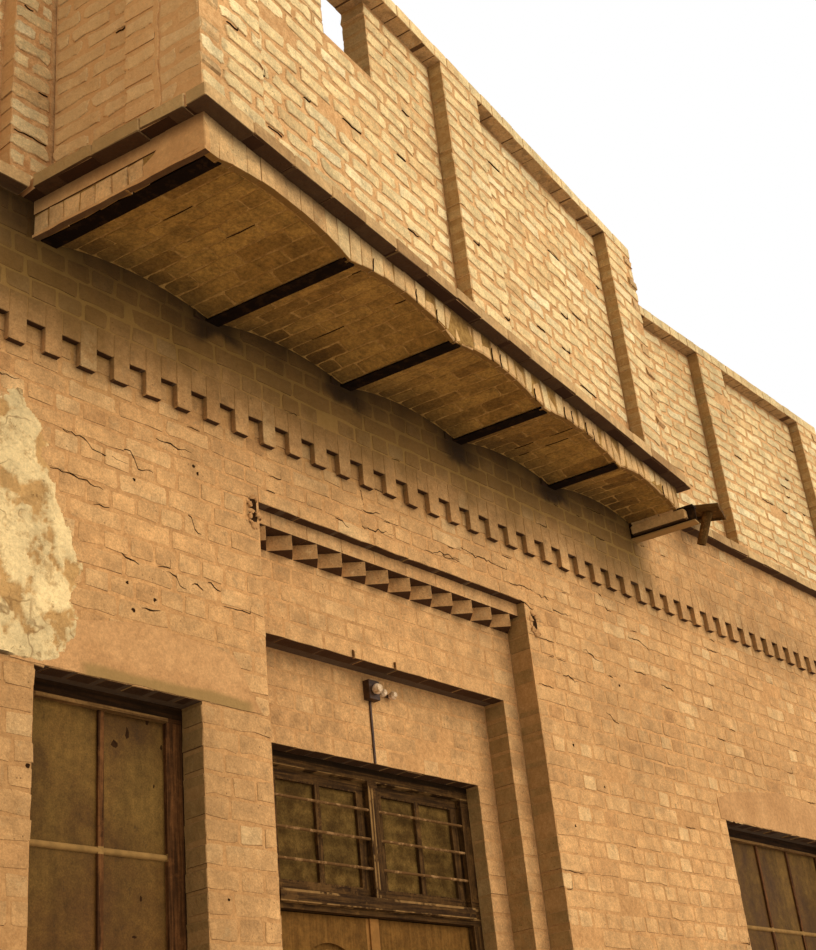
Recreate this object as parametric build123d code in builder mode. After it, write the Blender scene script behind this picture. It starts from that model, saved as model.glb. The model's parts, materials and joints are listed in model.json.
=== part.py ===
"""Street front of a brick house with a jack-arched balcony over its doorway.

Millimetres. X runs along the front, Y into the house, Z up. The origin is on the
ground, on the axis of the door, in the face of the lower front wall.
"""
from build123d import *
import math
import os

os.makedirs("parts", exist_ok=True)

# Brickwork
brick_height = 75

# The house
house_half_width = 6100
house_depth = 4800
front_wall_thickness = 500
side_wall_thickness = 360
rear_wall_thickness = 360

# Levels above the ground
floor_level = 120
door_head_level = 3270
inner_recess_level = 3720
outer_recess_level = 4275
band_level = 4690
soffit_level = 5100
ledge_level = 5280
terrace_level = 5350
parapet_level = 7175

# Stepped recess round the door
outer_recess_half_width = 1015
outer_recess_depth = 135
inner_recess_half_width = 889
inner_recess_depth = 267
door_half_width = 746
door_set_back = 347

# Saw-tooth frieze in the head of the recess
frieze_projection = 85
sawtooth_count = 12
sawtooth_height = 75
sawtooth_web = 2

# Projecting band with its hanging teeth
band_projection = 30
dentil_width = 85
dentil_pitch = 173
dentil_drop = 118

# Windows
window_sill_level = 980
window_head_level = 3270
window_set_back = 124
narrow_window_centre = -1794
narrow_window_width = 798
wide_window_centre = 3690
wide_window_width = 1550
rear_window_from_side = 2410
window_stile = 85
window_head_rail = 60
window_frame_depth = 70
panel_set_back = 18
panel_thickness = 4
batten_width = 26
batten_depth = 12
left_batten = -175
right_batten = 255
window_rows = 4
crossbar_radius = 13

# Ledge course under the parapets
ledge_projection = 70

# Parapets
parapet_thickness = 240
parapet_recess = 85
pilaster_width = 400
coping_height = 85
end_panel_width = 1360
corner_pilaster = 120

# Balcony
balcony_corner_x = -2137
balcony_corner_y = -929
balcony_length = 4605
front_turn_deg = 7.1
beam_turn_deg = 9.2
balcony_pilaster = 410
peephole_width = 410
peephole_height = 535

# Steel beams
beam_height = 160
beam_flange = 75
beam_web = 8
beam_flange_thickness = 10
beam_first_x = -2202
beam_pitch = 911
beam_count = 6
beam_inset = 20
beam_tail_y = 300
end_beam_height = 116
end_beam_drop = 100
end_beam_projection = 92

# Jack arches between the beams
arch_rise = 52
arch_spring = 12
arch_overrun = 200

# Roof
roof_beam_wall_gap = 274
roof_beam_bearing = 150
roof_bays_each_side = 6

# Door
frame_depth = 80
frame_stile = 65
frame_head_rail = 62
transom_rail_level = 2575
transom_rail_height = 80
transom_rail_moulding = 22
mullion_width = 70
casement_stile = 52
casement_depth = 34
casement_set_back = 30
casement_gap = 3
muntin_width = 34
transom_bar_radius = 7
transom_bar_facets = 8
transom_bar_set_back = 2
transom_bar_count = 3
glass_thickness = 4
threshold_top = 150
step_projection = 40
leaf_thickness = 45
leaf_clearance = 5
leaf_meeting_gap = 10
leaf_stile = 110
leaf_rail = 120
leaf_lock_rail_level = 1050
leaf_panel_recess = 16
leaf_panel_margin = 26
leaf_meeting_strip = 60
leaf_meeting_strip_depth = 8
hinge_axis_offset = 14
hinge_low_level = 420
hinge_middle_level = 1350
hinge_high_level = 2280
hinge_height = 40
hinge_strap_length = 160
hinge_strap_thickness = 8
hinge_eye_radius = 9
hinge_pin_radius = 5
hinge_fit = 0.3
pin_foot_height = 12
pin_foot_radius = 8
pin_plate_width = 40
pin_plate_margin = 2

# Small fixtures
lamp_x = -60
lamp_level = 3628
lamp_box_width = 76
lamp_box_height = 96
lamp_box_depth = 40
lamp_holder_radius = 27
lamp_bulb_radius = 21
lamp_bulb_pitch = 74
lamp_bulb_facets = 10
lamp_neck_depth = 14
lamp_neck_inset = 7
lamp_head_depth = 12
lamp_head_taper_deg = 32
lamp_arm_height = 14
lamp_arm_depth = 10
lamp_strip_width = 11
lamp_strip_depth = 8
lamp_strip_gap = 0.5
spout_x = 3101
spout_reach = 123
spout_lift = 7
spout_tray_length = 300
spout_tray_width = 195
spout_tray_height = 24
spout_sheet = 8
spout_turn_deg = 17.5
spout_rise_deg = 2.7
spout_roll_deg = 8.7
spout_tube_radius = 32
spout_tube_wall = 5
spout_tube_facets = 12
spout_tube_length = 230
spout_lean_deg = 24.5
spout_strap_width = 60
spout_strap_gap = 2

# Worked out from the driving sizes
band_face = -band_projection
ledge_face = band_face - ledge_projection
rear_face = house_depth - rear_wall_thickness
room_half_width = house_half_width - side_wall_thickness
coping_level = parapet_level - coping_height
front_direction = Vector(math.cos(math.radians(front_turn_deg)), math.sin(math.radians(front_turn_deg)), 0)
front_inward = Vector(-front_direction.Y, front_direction.X, 0)
beam_inward = Vector(-math.sin(math.radians(beam_turn_deg)), math.cos(math.radians(beam_turn_deg)), 0)
beam_across = Vector(beam_inward.Y, -beam_inward.X, 0)
corner_left = Vector(balcony_corner_x, balcony_corner_y, 0)
corner_right = corner_left + front_direction * balcony_length
rear_window_centre = house_half_width - rear_window_from_side
roof_beam_pitch = (room_half_width - roof_beam_wall_gap) / roof_bays_each_side
roof_beam_lines = [roof_beam_pitch * i for i in range(-roof_bays_each_side, roof_bays_each_side + 1)]


def finish(builder, node):
    """Names a finished piece and writes it to its own file."""
    builder.part.label = node
    export_step(builder.part, f"parts/{node}.step")


def block(x_low, x_high, y_low, y_high, z_low, z_high, mode=Mode.ADD):
    """A square block between two corners, in the open builder."""
    with BuildSketch(Plane.XY.offset(z_low), mode=Mode.PRIVATE) as base:
        with Locations(((x_low + x_high) / 2, (y_low + y_high) / 2)):
            Rectangle(x_high - x_low, y_high - y_low)
    extrude(base.sketch, amount=z_high - z_low, mode=mode)


def prism(points, z_low, z_high, mode=Mode.ADD):
    """An upright prism on a plan outline, in the open builder."""
    with BuildSketch(Plane.XY.offset(z_low), mode=Mode.PRIVATE) as base:
        with BuildLine():
            Polyline(*[(p[0], p[1]) for p in points], close=True)
        make_face()
    extrude(base.sketch, amount=z_high - z_low, mode=mode)


def at_y(point, direction, y):
    """Where the line from point along direction meets a given Y."""
    travel = (y - point.Y) / direction.Y
    return point + direction * travel


def plan(point):
    return (point.X, point.Y)


def inset_line(distance):
    """A point on the balcony's front line moved inward by distance."""
    return corner_left + front_inward * distance


def on_front(point, direction, distance):
    """Where a line in plan meets the balcony's front line moved inward by distance."""
    start = inset_line(distance)
    normal = front_inward
    travel = (start - point).dot(normal) / direction.dot(normal)
    return point + direction * travel


# Balcony beams: each centre line in plan from its front end to its tail in the wall, its level and height
beam_lines = []
for i in range(beam_count):
    wall_point = Vector(beam_first_x + beam_pitch * i, 0, 0)
    last = i == beam_count - 1
    front_gap = -end_beam_projection if last else beam_inset
    front_end = on_front(wall_point, beam_inward, front_gap)
    tail_end = at_y(wall_point, beam_inward, beam_tail_y)
    level = soffit_level - end_beam_drop if last else soffit_level
    beam_lines.append((front_end, tail_end, level, end_beam_height if last else beam_height))


def beam_profile(flange, height, web, flange_thickness):
    """The I section, standing on the sketch's X axis."""
    with Locations((0, flange_thickness / 2)):
        Rectangle(flange, flange_thickness)
    with Locations((0, height - flange_thickness / 2)):
        Rectangle(flange, flange_thickness)
    with Locations((0, height / 2)):
        Rectangle(web, height)


def add_beam(front_end, tail_end, level, height=beam_height, mode=Mode.ADD, solid_section=False):
    """One I beam, or the box round it, from its front end back to its tail."""
    along = (tail_end - front_end).normalized()
    across = Vector(along.Y, -along.X, 0)
    plane = Plane(origin=(front_end.X, front_end.Y, level), x_dir=across, z_dir=across.cross(Vector(0, 0, 1)))
    amount = (tail_end - front_end).length
    with BuildSketch(plane, mode=Mode.PRIVATE) as section:
        if solid_section:
            with Locations((0, height / 2)):
                Rectangle(beam_flange, height)
        else:
            beam_profile(beam_flange, height, beam_web, beam_flange_thickness)
    toward_tail = plane.z_dir.dot(along) > 0
    extrude(section.sketch, amount=amount if toward_tail else -amount, mode=mode)


# Lower front wall, one node each side of the door, windows cut right through
def window_opening(centre, width, y_low, y_high):
    block(centre - width / 2, centre + width / 2, y_low, y_high,
          window_sill_level, window_head_level, Mode.SUBTRACT)


with BuildPart() as front_wall_left:
    block(-house_half_width, -outer_recess_half_width, 0, front_wall_thickness, 0, band_level)
    window_opening(narrow_window_centre, narrow_window_width, 0, front_wall_thickness)
    window_opening(-wide_window_centre, wide_window_width, 0, front_wall_thickness)
finish(front_wall_left, "front_wall_left")

with BuildPart() as front_wall_right:
    block(outer_recess_half_width, house_half_width, 0, front_wall_thickness, 0, band_level)
    window_opening(wide_window_centre, wide_window_width, 0, front_wall_thickness)
finish(front_wall_right, "front_wall_right")

# Stepped jambs beside the door
jamb_outline = [
    (-outer_recess_half_width, outer_recess_depth),
    (-inner_recess_half_width, outer_recess_depth),
    (-inner_recess_half_width, inner_recess_depth),
    (-door_half_width, inner_recess_depth),
    (-door_half_width, front_wall_thickness),
    (-outer_recess_half_width, front_wall_thickness),
]
with BuildPart() as door_jamb_left:
    prism(jamb_outline, 0, door_head_level)
finish(door_jamb_left, "door_jamb_left")

with BuildPart() as door_jamb_right:
    prism([(-x, y) for x, y in jamb_outline], 0, door_head_level)
finish(door_jamb_right, "door_jamb_right")

# Masonry over the door: within the inner recess, within the outer one, and above both
with BuildPart() as door_head:
    block(-outer_recess_half_width, outer_recess_half_width, outer_recess_depth, front_wall_thickness,
          door_head_level, inner_recess_level)
    block(-inner_recess_half_width, inner_recess_half_width, outer_recess_depth, inner_recess_depth,
          door_head_level, inner_recess_level, Mode.SUBTRACT)
finish(door_head, "door_head")

with BuildPart() as recess_head:
    block(-outer_recess_half_width, outer_recess_half_width, outer_recess_depth, front_wall_thickness,
          inner_recess_level, outer_recess_level)
finish(recess_head, "recess_head")

with BuildPart() as wall_over_door:
    block(-outer_recess_half_width, outer_recess_half_width, 0, front_wall_thickness,
          outer_recess_level, band_level)
finish(wall_over_door, "wall_over_door")

# Frieze: a flat course, and under it bricks laid at 45 degrees with one corner out
frieze_face = outer_recess_depth - frieze_projection
frieze_course_low = outer_recess_level - brick_height
with BuildPart() as frieze_course:
    block(-outer_recess_half_width, outer_recess_half_width, frieze_face, outer_recess_depth,
          frieze_course_low, outer_recess_level)
finish(frieze_course, "frieze_course")

sawtooth_pitch = 2 * outer_recess_half_width / sawtooth_count
sawtooth_outline = [(-outer_recess_half_width, outer_recess_depth)]
for i in range(sawtooth_count):
    valley = -outer_recess_half_width + sawtooth_pitch * i
    sawtooth_outline.append((valley + sawtooth_pitch / 2, outer_recess_depth - sawtooth_pitch / 2))
    if i < sawtooth_count - 1:
        sawtooth_outline.append((valley + sawtooth_pitch, outer_recess_depth - sawtooth_web))
sawtooth_outline.append((outer_recess_half_width, outer_recess_depth))
with BuildPart() as sawtooth_course:
    prism(sawtooth_outline, frieze_course_low - sawtooth_height, frieze_course_low)
finish(sawtooth_course, "sawtooth_course")

# Band that stands proud of the wall, with pockets for the beams' tails
with BuildPart() as dentil_band:
    block(-house_half_width, house_half_width, band_face, front_wall_thickness, band_level, ledge_level)
    for front_end, tail_end, level, height in beam_lines:
        add_beam(front_end, tail_end, level, height, Mode.SUBTRACT, solid_section=True)
    for x in roof_beam_lines:
        block(x - beam_flange / 2, x + beam_flange / 2, front_wall_thickness - roof_beam_bearing,
              front_wall_thickness, soffit_level, soffit_level + beam_height, Mode.SUBTRACT)
finish(dentil_band, "dentil_band")

dentil_count = int(2 * house_half_width / dentil_pitch)
with BuildPart() as dentils:
    with BuildSketch(Plane.XY.offset(band_level - dentil_drop)):
        with Locations((0, band_face / 2)):
            with GridLocations(dentil_pitch, 1, dentil_count, 1):
                Rectangle(dentil_width, band_projection)
    extrude(amount=dentil_drop)
finish(dentils, "dentils")

# Party walls and the wall to the yard
with BuildPart() as party_wall_left:
    block(-house_half_width, -room_half_width, front_wall_thickness, house_depth, 0, ledge_level)
finish(party_wall_left, "party_wall_left")

with BuildPart() as party_wall_right:
    block(room_half_width, house_half_width, front_wall_thickness, house_depth, 0, ledge_level)
finish(party_wall_right, "party_wall_right")

with BuildPart() as rear_wall:
    block(-room_half_width, room_half_width, rear_face, house_depth, 0, ledge_level)
    for side in (-1, 1):
        window_opening(side * rear_window_centre, wide_window_width, rear_face, house_depth)
    for x in roof_beam_lines:
        block(x - beam_flange / 2, x + beam_flange / 2, rear_face, rear_face + roof_beam_bearing,
              soffit_level, soffit_level + beam_height, Mode.SUBTRACT)
finish(rear_wall, "rear_wall")

# Ground floor and the step in the doorway
with BuildPart() as floor_slab:
    block(-room_half_width, room_half_width, front_wall_thickness, rear_face, 0, floor_level)
finish(floor_slab, "floor_slab")

step_outline = [
    (outer_recess_half_width, -step_projection),
    (outer_recess_half_width, outer_recess_depth),
    (inner_recess_half_width, outer_recess_depth),
    (inner_recess_half_width, inner_recess_depth),
    (door_half_width, inner_recess_depth),
    (door_half_width, front_wall_thickness),
]
with BuildPart() as threshold:
    prism(step_outline + [(-x, y) for x, y in reversed(step_outline)], 0, threshold_top)
finish(threshold, "threshold")

# Roof: beams from wall to wall, shallow brick arches between them, paving on top
roof_beam_front = front_wall_thickness - roof_beam_bearing
roof_beam_rear = rear_face + roof_beam_bearing
with BuildPart() as roof_beams:
    for x in roof_beam_lines:
        add_beam(Vector(x, roof_beam_front, 0), Vector(x, roof_beam_rear, 0), soffit_level)
finish(roof_beams, "roof_beams")


def vault_void(start, along, length, level, chord):
    """The hollow under one jack arch, cut from the open builder."""
    across = Vector(along.Y, -along.X, 0)
    plane = Plane(origin=(start.X, start.Y, level), x_dir=across, z_dir=across.cross(Vector(0, 0, 1)))
    with BuildSketch(plane, mode=Mode.PRIVATE) as section:
        with BuildLine():
            Polyline((-chord / 2, arch_spring), (-chord / 2, -1), (chord / 2, -1), (chord / 2, arch_spring))
            ThreePointArc((chord / 2, arch_spring), (0, arch_spring + arch_rise), (-chord / 2, arch_spring))
        make_face()
    toward = plane.z_dir.dot(along) > 0
    extrude(section.sketch, amount=length if toward else -length, mode=Mode.SUBTRACT)


with BuildPart() as roof_arches:
    block(-room_half_width, room_half_width, front_wall_thickness, rear_face, soffit_level, ledge_level)
    for x in roof_beam_lines:
        wall_side, yard_side = Vector(x, front_wall_thickness, 0), Vector(x, rear_face, 0)
        add_beam(wall_side, yard_side, soffit_level, mode=Mode.SUBTRACT)
    for x in roof_beam_lines[:-1]:
        vault_void(Vector(x + roof_beam_pitch / 2, front_wall_thickness, 0), Vector(0, 1, 0),
                   rear_face - front_wall_thickness, soffit_level, roof_beam_pitch - beam_flange)
finish(roof_arches, "roof_arches")

with BuildPart() as roof_paving:
    block(-room_half_width, room_half_width, front_wall_thickness, rear_face, ledge_level, terrace_level)
finish(roof_paving, "roof_paving")

# Balcony beams
with BuildPart() as balcony_beams:
    for front_end, tail_end, level, height in beam_lines[:-1]:
        add_beam(front_end, tail_end, level, height)
finish(balcony_beams, "balcony_beams")

with BuildPart() as balcony_end_beam:
    add_beam(*beam_lines[-1])
finish(balcony_end_beam, "balcony_end_beam")

# Jack arches of the balcony, from the left face to the last beam
balcony_left_wall = at_y(corner_left, beam_inward, band_face)
balcony_right_wall = at_y(corner_right, beam_inward, band_face)
with BuildPart() as balcony_arches:
    prism([plan(corner_left), plan(corner_right), plan(balcony_right_wall), plan(balcony_left_wall)],
          soffit_level, ledge_level)
    for front_end, tail_end, level, height in beam_lines[:-1]:
        add_beam(front_end, tail_end, level, height, Mode.SUBTRACT)
    for i in range(beam_count - 1):
        middle = Vector(beam_first_x + beam_pitch * (i + 0.5), 0, 0)
        start = on_front(middle, beam_inward, -arch_overrun)
        reach = (at_y(middle, beam_inward, arch_overrun) - start).length
        clear_chord = beam_pitch * math.cos(math.radians(beam_turn_deg)) - beam_flange
        vault_void(start, beam_inward, reach, soffit_level, clear_chord)
    add_beam(*beam_lines[-1], Mode.SUBTRACT, solid_section=True)
finish(balcony_arches, "balcony_arches")

# Ledge courses, and the balcony's paving that runs through to the terrace
ledge_corner_left = corner_left - front_direction * ledge_projection - front_inward * ledge_projection
ledge_corner_right = corner_right + front_direction * ledge_projection - front_inward * ledge_projection
ledge_left_wall = at_y(ledge_corner_left, beam_inward, ledge_face)
ledge_right_wall = at_y(ledge_corner_right, beam_inward, ledge_face)
with BuildPart() as balcony_ledge:
    prism([plan(ledge_corner_left), plan(ledge_corner_right), plan(ledge_right_wall),
           (ledge_right_wall.X, front_wall_thickness), (ledge_left_wall.X, front_wall_thickness),
           plan(ledge_left_wall)], ledge_level, terrace_level)
finish(balcony_ledge, "balcony_ledge")

with BuildPart() as ledge_left:
    block(-house_half_width, ledge_left_wall.X, ledge_face, front_wall_thickness, ledge_level, terrace_level)
finish(ledge_left, "ledge_left")

with BuildPart() as ledge_right:
    block(ledge_right_wall.X, house_half_width, ledge_face, front_wall_thickness, ledge_level, terrace_level)
finish(ledge_right, "ledge_right")

# Ledges of the sides and the rear stay flush with their walls
with BuildPart() as ledge_rear:
    block(-house_half_width, -room_half_width, front_wall_thickness, house_depth, ledge_level, terrace_level)
    block(room_half_width, house_half_width, front_wall_thickness, house_depth, ledge_level, terrace_level)
    block(-house_half_width, house_half_width, rear_face, house_depth, ledge_level, terrace_level)
finish(ledge_rear, "ledge_rear")


# Parapets
def panelled_run(start, direction, inward, length, panels, thickness=parapet_thickness):
    """A parapet run with its panels sunk into the outer face.

    panels lists (from, to) along the run; the coping course is left whole over them.
    """
    end = start + direction * length
    inner_end = end + inward * thickness
    inner_start = start + inward * thickness
    prism([plan(start), plan(end), plan(inner_end), plan(inner_start)], terrace_level, parapet_level)
    for low, high in panels:
        a = start + direction * low
        b = start + direction * high
        prism([plan(a), plan(b), plan(b + inward * parapet_recess), plan(a + inward * parapet_recess)],
              terrace_level, coping_level, Mode.SUBTRACT)


east = Vector(1, 0, 0)
north = Vector(0, 1, 0)
front_parapet_y = band_face
side_across = parapet_thickness / math.cos(math.radians(beam_turn_deg))
parapet_right_start = balcony_right_wall.X - side_across
parapet_left_end = balcony_left_wall.X + side_across
right_length = house_half_width - parapet_right_start
left_length = parapet_left_end + house_half_width

with BuildPart() as parapet_front_right:
    right_pilaster = right_length - pilaster_width
    second_panel = right_pilaster - end_panel_width
    panelled_run(Vector(parapet_right_start, front_parapet_y, 0), east, north, right_length,
                 [(side_across, second_panel - pilaster_width), (second_panel, right_pilaster)])
finish(parapet_front_right, "parapet_front_right")

with BuildPart() as parapet_front_left:
    panelled_run(Vector(-house_half_width, front_parapet_y, 0), east, north, left_length,
                 [(pilaster_width, pilaster_width + end_panel_width),
                  (2 * pilaster_width + end_panel_width, left_length - side_across - corner_pilaster)])
finish(parapet_front_left, "parapet_front_left")

balcony_panel = (balcony_length - 3 * balcony_pilaster) / 2
peephole_middle = balcony_pilaster + balcony_panel / 2
with BuildPart() as balcony_parapet_front:
    panelled_run(corner_left, front_direction, front_inward, balcony_length,
                 [(balcony_pilaster, balcony_pilaster + balcony_panel),
                  (2 * balcony_pilaster + balcony_panel, balcony_length - balcony_pilaster)])
    hole_a = corner_left + front_direction * (peephole_middle - peephole_width / 2)
    hole_b = corner_left + front_direction * (peephole_middle + peephole_width / 2)
    prism([plan(hole_a), plan(hole_b), plan(hole_b + front_inward * parapet_thickness),
           plan(hole_a + front_inward * parapet_thickness)],
          coping_level - peephole_height, coping_level, Mode.SUBTRACT)
finish(balcony_parapet_front, "balcony_parapet_front")

# Side parapets of the balcony run back from the front one to the wall
side_start_left = on_front(corner_left, beam_inward, parapet_thickness)
with BuildPart() as balcony_parapet_left:
    side_end_left = at_y(corner_left, beam_inward, front_parapet_y)
    inner_corner_left = corner_left + beam_across * parapet_thickness
    inner_front_left = on_front(inner_corner_left, beam_inward, parapet_thickness)
    inner_end_left = at_y(inner_corner_left, beam_inward, front_parapet_y)
    prism([plan(side_start_left), plan(inner_front_left), plan(inner_end_left), plan(side_end_left)],
          terrace_level, parapet_level)
    panel_low = corner_left + beam_inward * balcony_pilaster
    prism([plan(panel_low), plan(panel_low + beam_across * parapet_recess),
           plan(at_y(panel_low + beam_across * parapet_recess, beam_inward, front_parapet_y)),
           plan(side_end_left)], terrace_level, coping_level, Mode.SUBTRACT)
finish(balcony_parapet_left, "balcony_parapet_left")

side_start_right = on_front(corner_right, beam_inward, parapet_thickness)
with BuildPart() as balcony_parapet_right:
    side_end_right = at_y(corner_right, beam_inward, front_parapet_y)
    inner_corner_right = corner_right - beam_across * parapet_thickness
    inner_front_right = on_front(inner_corner_right, beam_inward, parapet_thickness)
    inner_end_right = at_y(inner_corner_right, beam_inward, front_parapet_y)
    prism([plan(inner_front_right), plan(side_start_right), plan(side_end_right), plan(inner_end_right)],
          terrace_level, parapet_level)
finish(balcony_parapet_right, "balcony_parapet_right")

side_parapet_start = front_parapet_y + parapet_thickness
with BuildPart() as parapet_side_left:
    block(-house_half_width, -house_half_width + parapet_thickness, side_parapet_start, house_depth,
          terrace_level, parapet_level)
finish(parapet_side_left, "parapet_side_left")

with BuildPart() as parapet_side_right:
    block(house_half_width - parapet_thickness, house_half_width, side_parapet_start, house_depth,
          terrace_level, parapet_level)
finish(parapet_side_right, "parapet_side_right")

with BuildPart() as parapet_rear:
    block(-house_half_width + parapet_thickness, house_half_width - parapet_thickness,
          house_depth - parapet_thickness, house_depth, terrace_level, parapet_level)
finish(parapet_rear, "parapet_rear")


# Windows: a frame, a sheet in it, cover battens and a rounded crossbar
def window_unit(centre, width, battens, face, inward):
    """One window. face is the Y of the frame's outer side, inward is 1 or -1 along Y."""
    half = width / 2
    back = face + inward * window_frame_depth
    y_low = min(face, back)
    y_high = max(face, back)
    block(centre - half, centre + half, y_low, y_high, window_sill_level, window_head_level)
    block(centre - half + window_stile, centre + half - window_stile, y_low, y_high,
          window_sill_level + window_head_rail, window_head_level - window_head_rail, Mode.SUBTRACT)
    batten_face = face + inward * (panel_set_back - batten_depth)
    batten_back = batten_face + inward * (batten_depth + panel_thickness)
    for offset in battens:
        block(centre + offset - batten_width / 2, centre + offset + batten_width / 2,
              min(batten_face, batten_back), max(batten_face, batten_back),
              window_sill_level + window_head_rail, window_head_level - window_head_rail)
    row_height = (window_head_level - window_sill_level - 2 * window_head_rail) / window_rows
    for row in range(1, window_rows):
        start = (centre - half + window_stile, face + inward * panel_set_back,
                 window_sill_level + window_head_rail + row_height * row)
        with BuildSketch(Plane(origin=start, x_dir=(0, 1, 0), z_dir=(1, 0, 0)), mode=Mode.PRIVATE) as bar:
            Circle(crossbar_radius)
            with Locations((inward * crossbar_radius / 2, 0)):
                Rectangle(crossbar_radius, 2 * crossbar_radius, mode=Mode.SUBTRACT)
        extrude(bar.sketch, amount=width - 2 * window_stile)


def window_sheets(centre, width, battens, face, inward):
    """The thin sheets between a window's battens."""
    low = centre - width / 2 + window_stile
    high = centre + width / 2 - window_stile
    edges = [low] + [centre + b for b in battens] + [high]
    sheet_front = face + inward * panel_set_back
    sheet_back = sheet_front + inward * panel_thickness
    for i in range(len(edges) - 1):
        left = edges[i] + (batten_width / 2 if i else 0)
        right = edges[i + 1] - (batten_width / 2 if i < len(edges) - 2 else 0)
        block(left, right, min(sheet_front, sheet_back), max(sheet_front, sheet_back),
              window_sill_level + window_head_rail, window_head_level - window_head_rail)


narrow_battens = [0]
wide_battens = [left_batten, right_batten]
mirrored_battens = [-right_batten, -left_batten]
window_list = {
    "window_wide_left": (-wide_window_centre, wide_window_width, mirrored_battens, window_set_back, 1),
    "window_narrow": (narrow_window_centre, narrow_window_width, narrow_battens, window_set_back, 1),
    "window_wide_right": (wide_window_centre, wide_window_width, wide_battens, window_set_back, 1),
    "window_rear_left": (-rear_window_centre, wide_window_width, mirrored_battens,
                         house_depth - window_set_back, -1),
    "window_rear_right": (rear_window_centre, wide_window_width, wide_battens,
                          house_depth - window_set_back, -1),
}
for node, window in window_list.items():
    with BuildPart() as window_frame:
        window_unit(*window)
    finish(window_frame, node)

with BuildPart() as window_panels:
    for window in window_list.values():
        window_sheets(*window)
finish(window_panels, "window_panels")

# Door frame with its transom rail and the post between the two top lights
frame_back = door_set_back + frame_depth
frame_inner = door_half_width - frame_stile
transom_top = transom_rail_level + transom_rail_height
light_head = door_head_level - frame_head_rail
with BuildPart() as door_frame:
    block(-door_half_width, door_half_width, door_set_back, frame_back, threshold_top, door_head_level)
    block(-frame_inner, frame_inner, door_set_back, frame_back,
          threshold_top, transom_rail_level, Mode.SUBTRACT)
    for side in (-1, 1):
        low, high = sorted((side * mullion_width / 2, side * frame_inner))
        block(low, high, door_set_back, frame_back, transom_top, light_head, Mode.SUBTRACT)
    block(-frame_inner, frame_inner, door_set_back - transom_rail_moulding, door_set_back,
          transom_rail_level + transom_rail_height / 3, transom_top)
finish(door_frame, "door_frame")

casement_face = door_set_back + casement_set_back
with BuildPart() as transom_casements:
    for side in (-1, 1):
        low, high = sorted((side * (mullion_width / 2 + casement_gap), side * (frame_inner - casement_gap)))
        bottom = transom_top
        top = light_head - casement_gap
        block(low, high, casement_face, casement_face + casement_depth, bottom, top)
        block(low + casement_stile, high - casement_stile, casement_face, casement_face + casement_depth,
              bottom + casement_stile, top - casement_stile, Mode.SUBTRACT)
        middle = (low + high) / 2
        block(middle - muntin_width / 2, middle + muntin_width / 2, casement_face,
              casement_face + casement_depth, bottom + casement_stile, top - casement_stile)
finish(transom_casements, "transom_casements")

glass_face = casement_face + casement_depth / 2
with BuildPart() as transom_glass:
    for side in (-1, 1):
        low, high = sorted((side * (mullion_width / 2 + casement_gap), side * (frame_inner - casement_gap)))
        middle = (low + high) / 2
        panes = ((low + casement_stile, middle - muntin_width / 2),
                 (middle + muntin_width / 2, high - casement_stile))
        for left, right in panes:
            block(left, right, glass_face, glass_face + glass_thickness,
                  transom_top + casement_stile, light_head - casement_gap - casement_stile)
finish(transom_glass, "transom_glass")

bar_pitch = (light_head - transom_top) / (transom_bar_count + 1)
bar_y = door_set_back + transom_bar_radius + transom_bar_set_back
with BuildPart() as transom_bars:
    for side in (-1, 1):
        low, high = sorted((side * mullion_width / 2, side * frame_inner))
        for i in range(transom_bar_count):
            level = transom_top + bar_pitch * (i + 1)
            with BuildSketch(Plane(origin=(low, bar_y, level), x_dir=(0, 1, 0), z_dir=(1, 0, 0))) as bar:
                RegularPolygon(transom_bar_radius, transom_bar_facets)
            extrude(amount=high - low)
finish(transom_bars, "transom_bars")

# Door leaves
leaf_low = threshold_top + leaf_clearance
leaf_high = transom_rail_level - leaf_clearance
leaf_outer = frame_inner - leaf_clearance
leaf_meeting = leaf_meeting_gap / 2
leaf_back = frame_back
leaf_face = leaf_back - leaf_thickness
hinge_y = leaf_back + hinge_axis_offset
hinge_levels = (hinge_low_level, hinge_middle_level, hinge_high_level)


def door_leaf(side):
    """One leaf: stiles, rails and sunk panels, the upper panel with an arched head."""
    low, high = sorted((side * leaf_meeting, side * leaf_outer))
    block(low, high, leaf_face, leaf_back, leaf_low, leaf_high)
    panel_low = low + leaf_stile
    panel_high = high - leaf_stile
    lower = (leaf_low + leaf_rail, leaf_lock_rail_level - leaf_rail / 2)
    upper_low = leaf_lock_rail_level + leaf_rail / 2
    spring = leaf_high - leaf_rail - (panel_high - panel_low) / 2
    for face, depth in ((leaf_face, leaf_panel_recess), (leaf_back, -leaf_panel_recess)):
        plane = Plane(origin=(0, face, 0), x_dir=(1, 0, 0), z_dir=(0, -1, 0))
        with BuildSketch(plane, mode=Mode.PRIVATE) as sunk:
            with Locations(((panel_low + panel_high) / 2, (lower[0] + lower[1]) / 2)):
                Rectangle(panel_high - panel_low, lower[1] - lower[0])
            with Locations(((panel_low + panel_high) / 2, (upper_low + spring) / 2)):
                Rectangle(panel_high - panel_low, spring - upper_low)
            with Locations(((panel_low + panel_high) / 2, spring)):
                Circle((panel_high - panel_low) / 2)
            width = panel_high - panel_low - 2 * leaf_panel_margin
            with Locations(((panel_low + panel_high) / 2, (lower[0] + lower[1]) / 2)):
                Rectangle(width, lower[1] - lower[0] - 2 * leaf_panel_margin, mode=Mode.SUBTRACT)
            with Locations(((panel_low + panel_high) / 2, (upper_low + leaf_panel_margin + spring) / 2)):
                Rectangle(width, spring - upper_low - leaf_panel_margin, mode=Mode.SUBTRACT)
            with Locations(((panel_low + panel_high) / 2, spring)):
                Circle(width / 2, mode=Mode.SUBTRACT)
        extrude(sunk.sketch, amount=-depth, mode=Mode.SUBTRACT)


with BuildPart() as door_leaf_left:
    door_leaf(-1)
    block(-leaf_meeting - leaf_meeting_strip, -leaf_meeting, leaf_face - leaf_meeting_strip_depth, leaf_face,
          leaf_low, leaf_high)
finish(door_leaf_left, "door_leaf_left")

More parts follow.
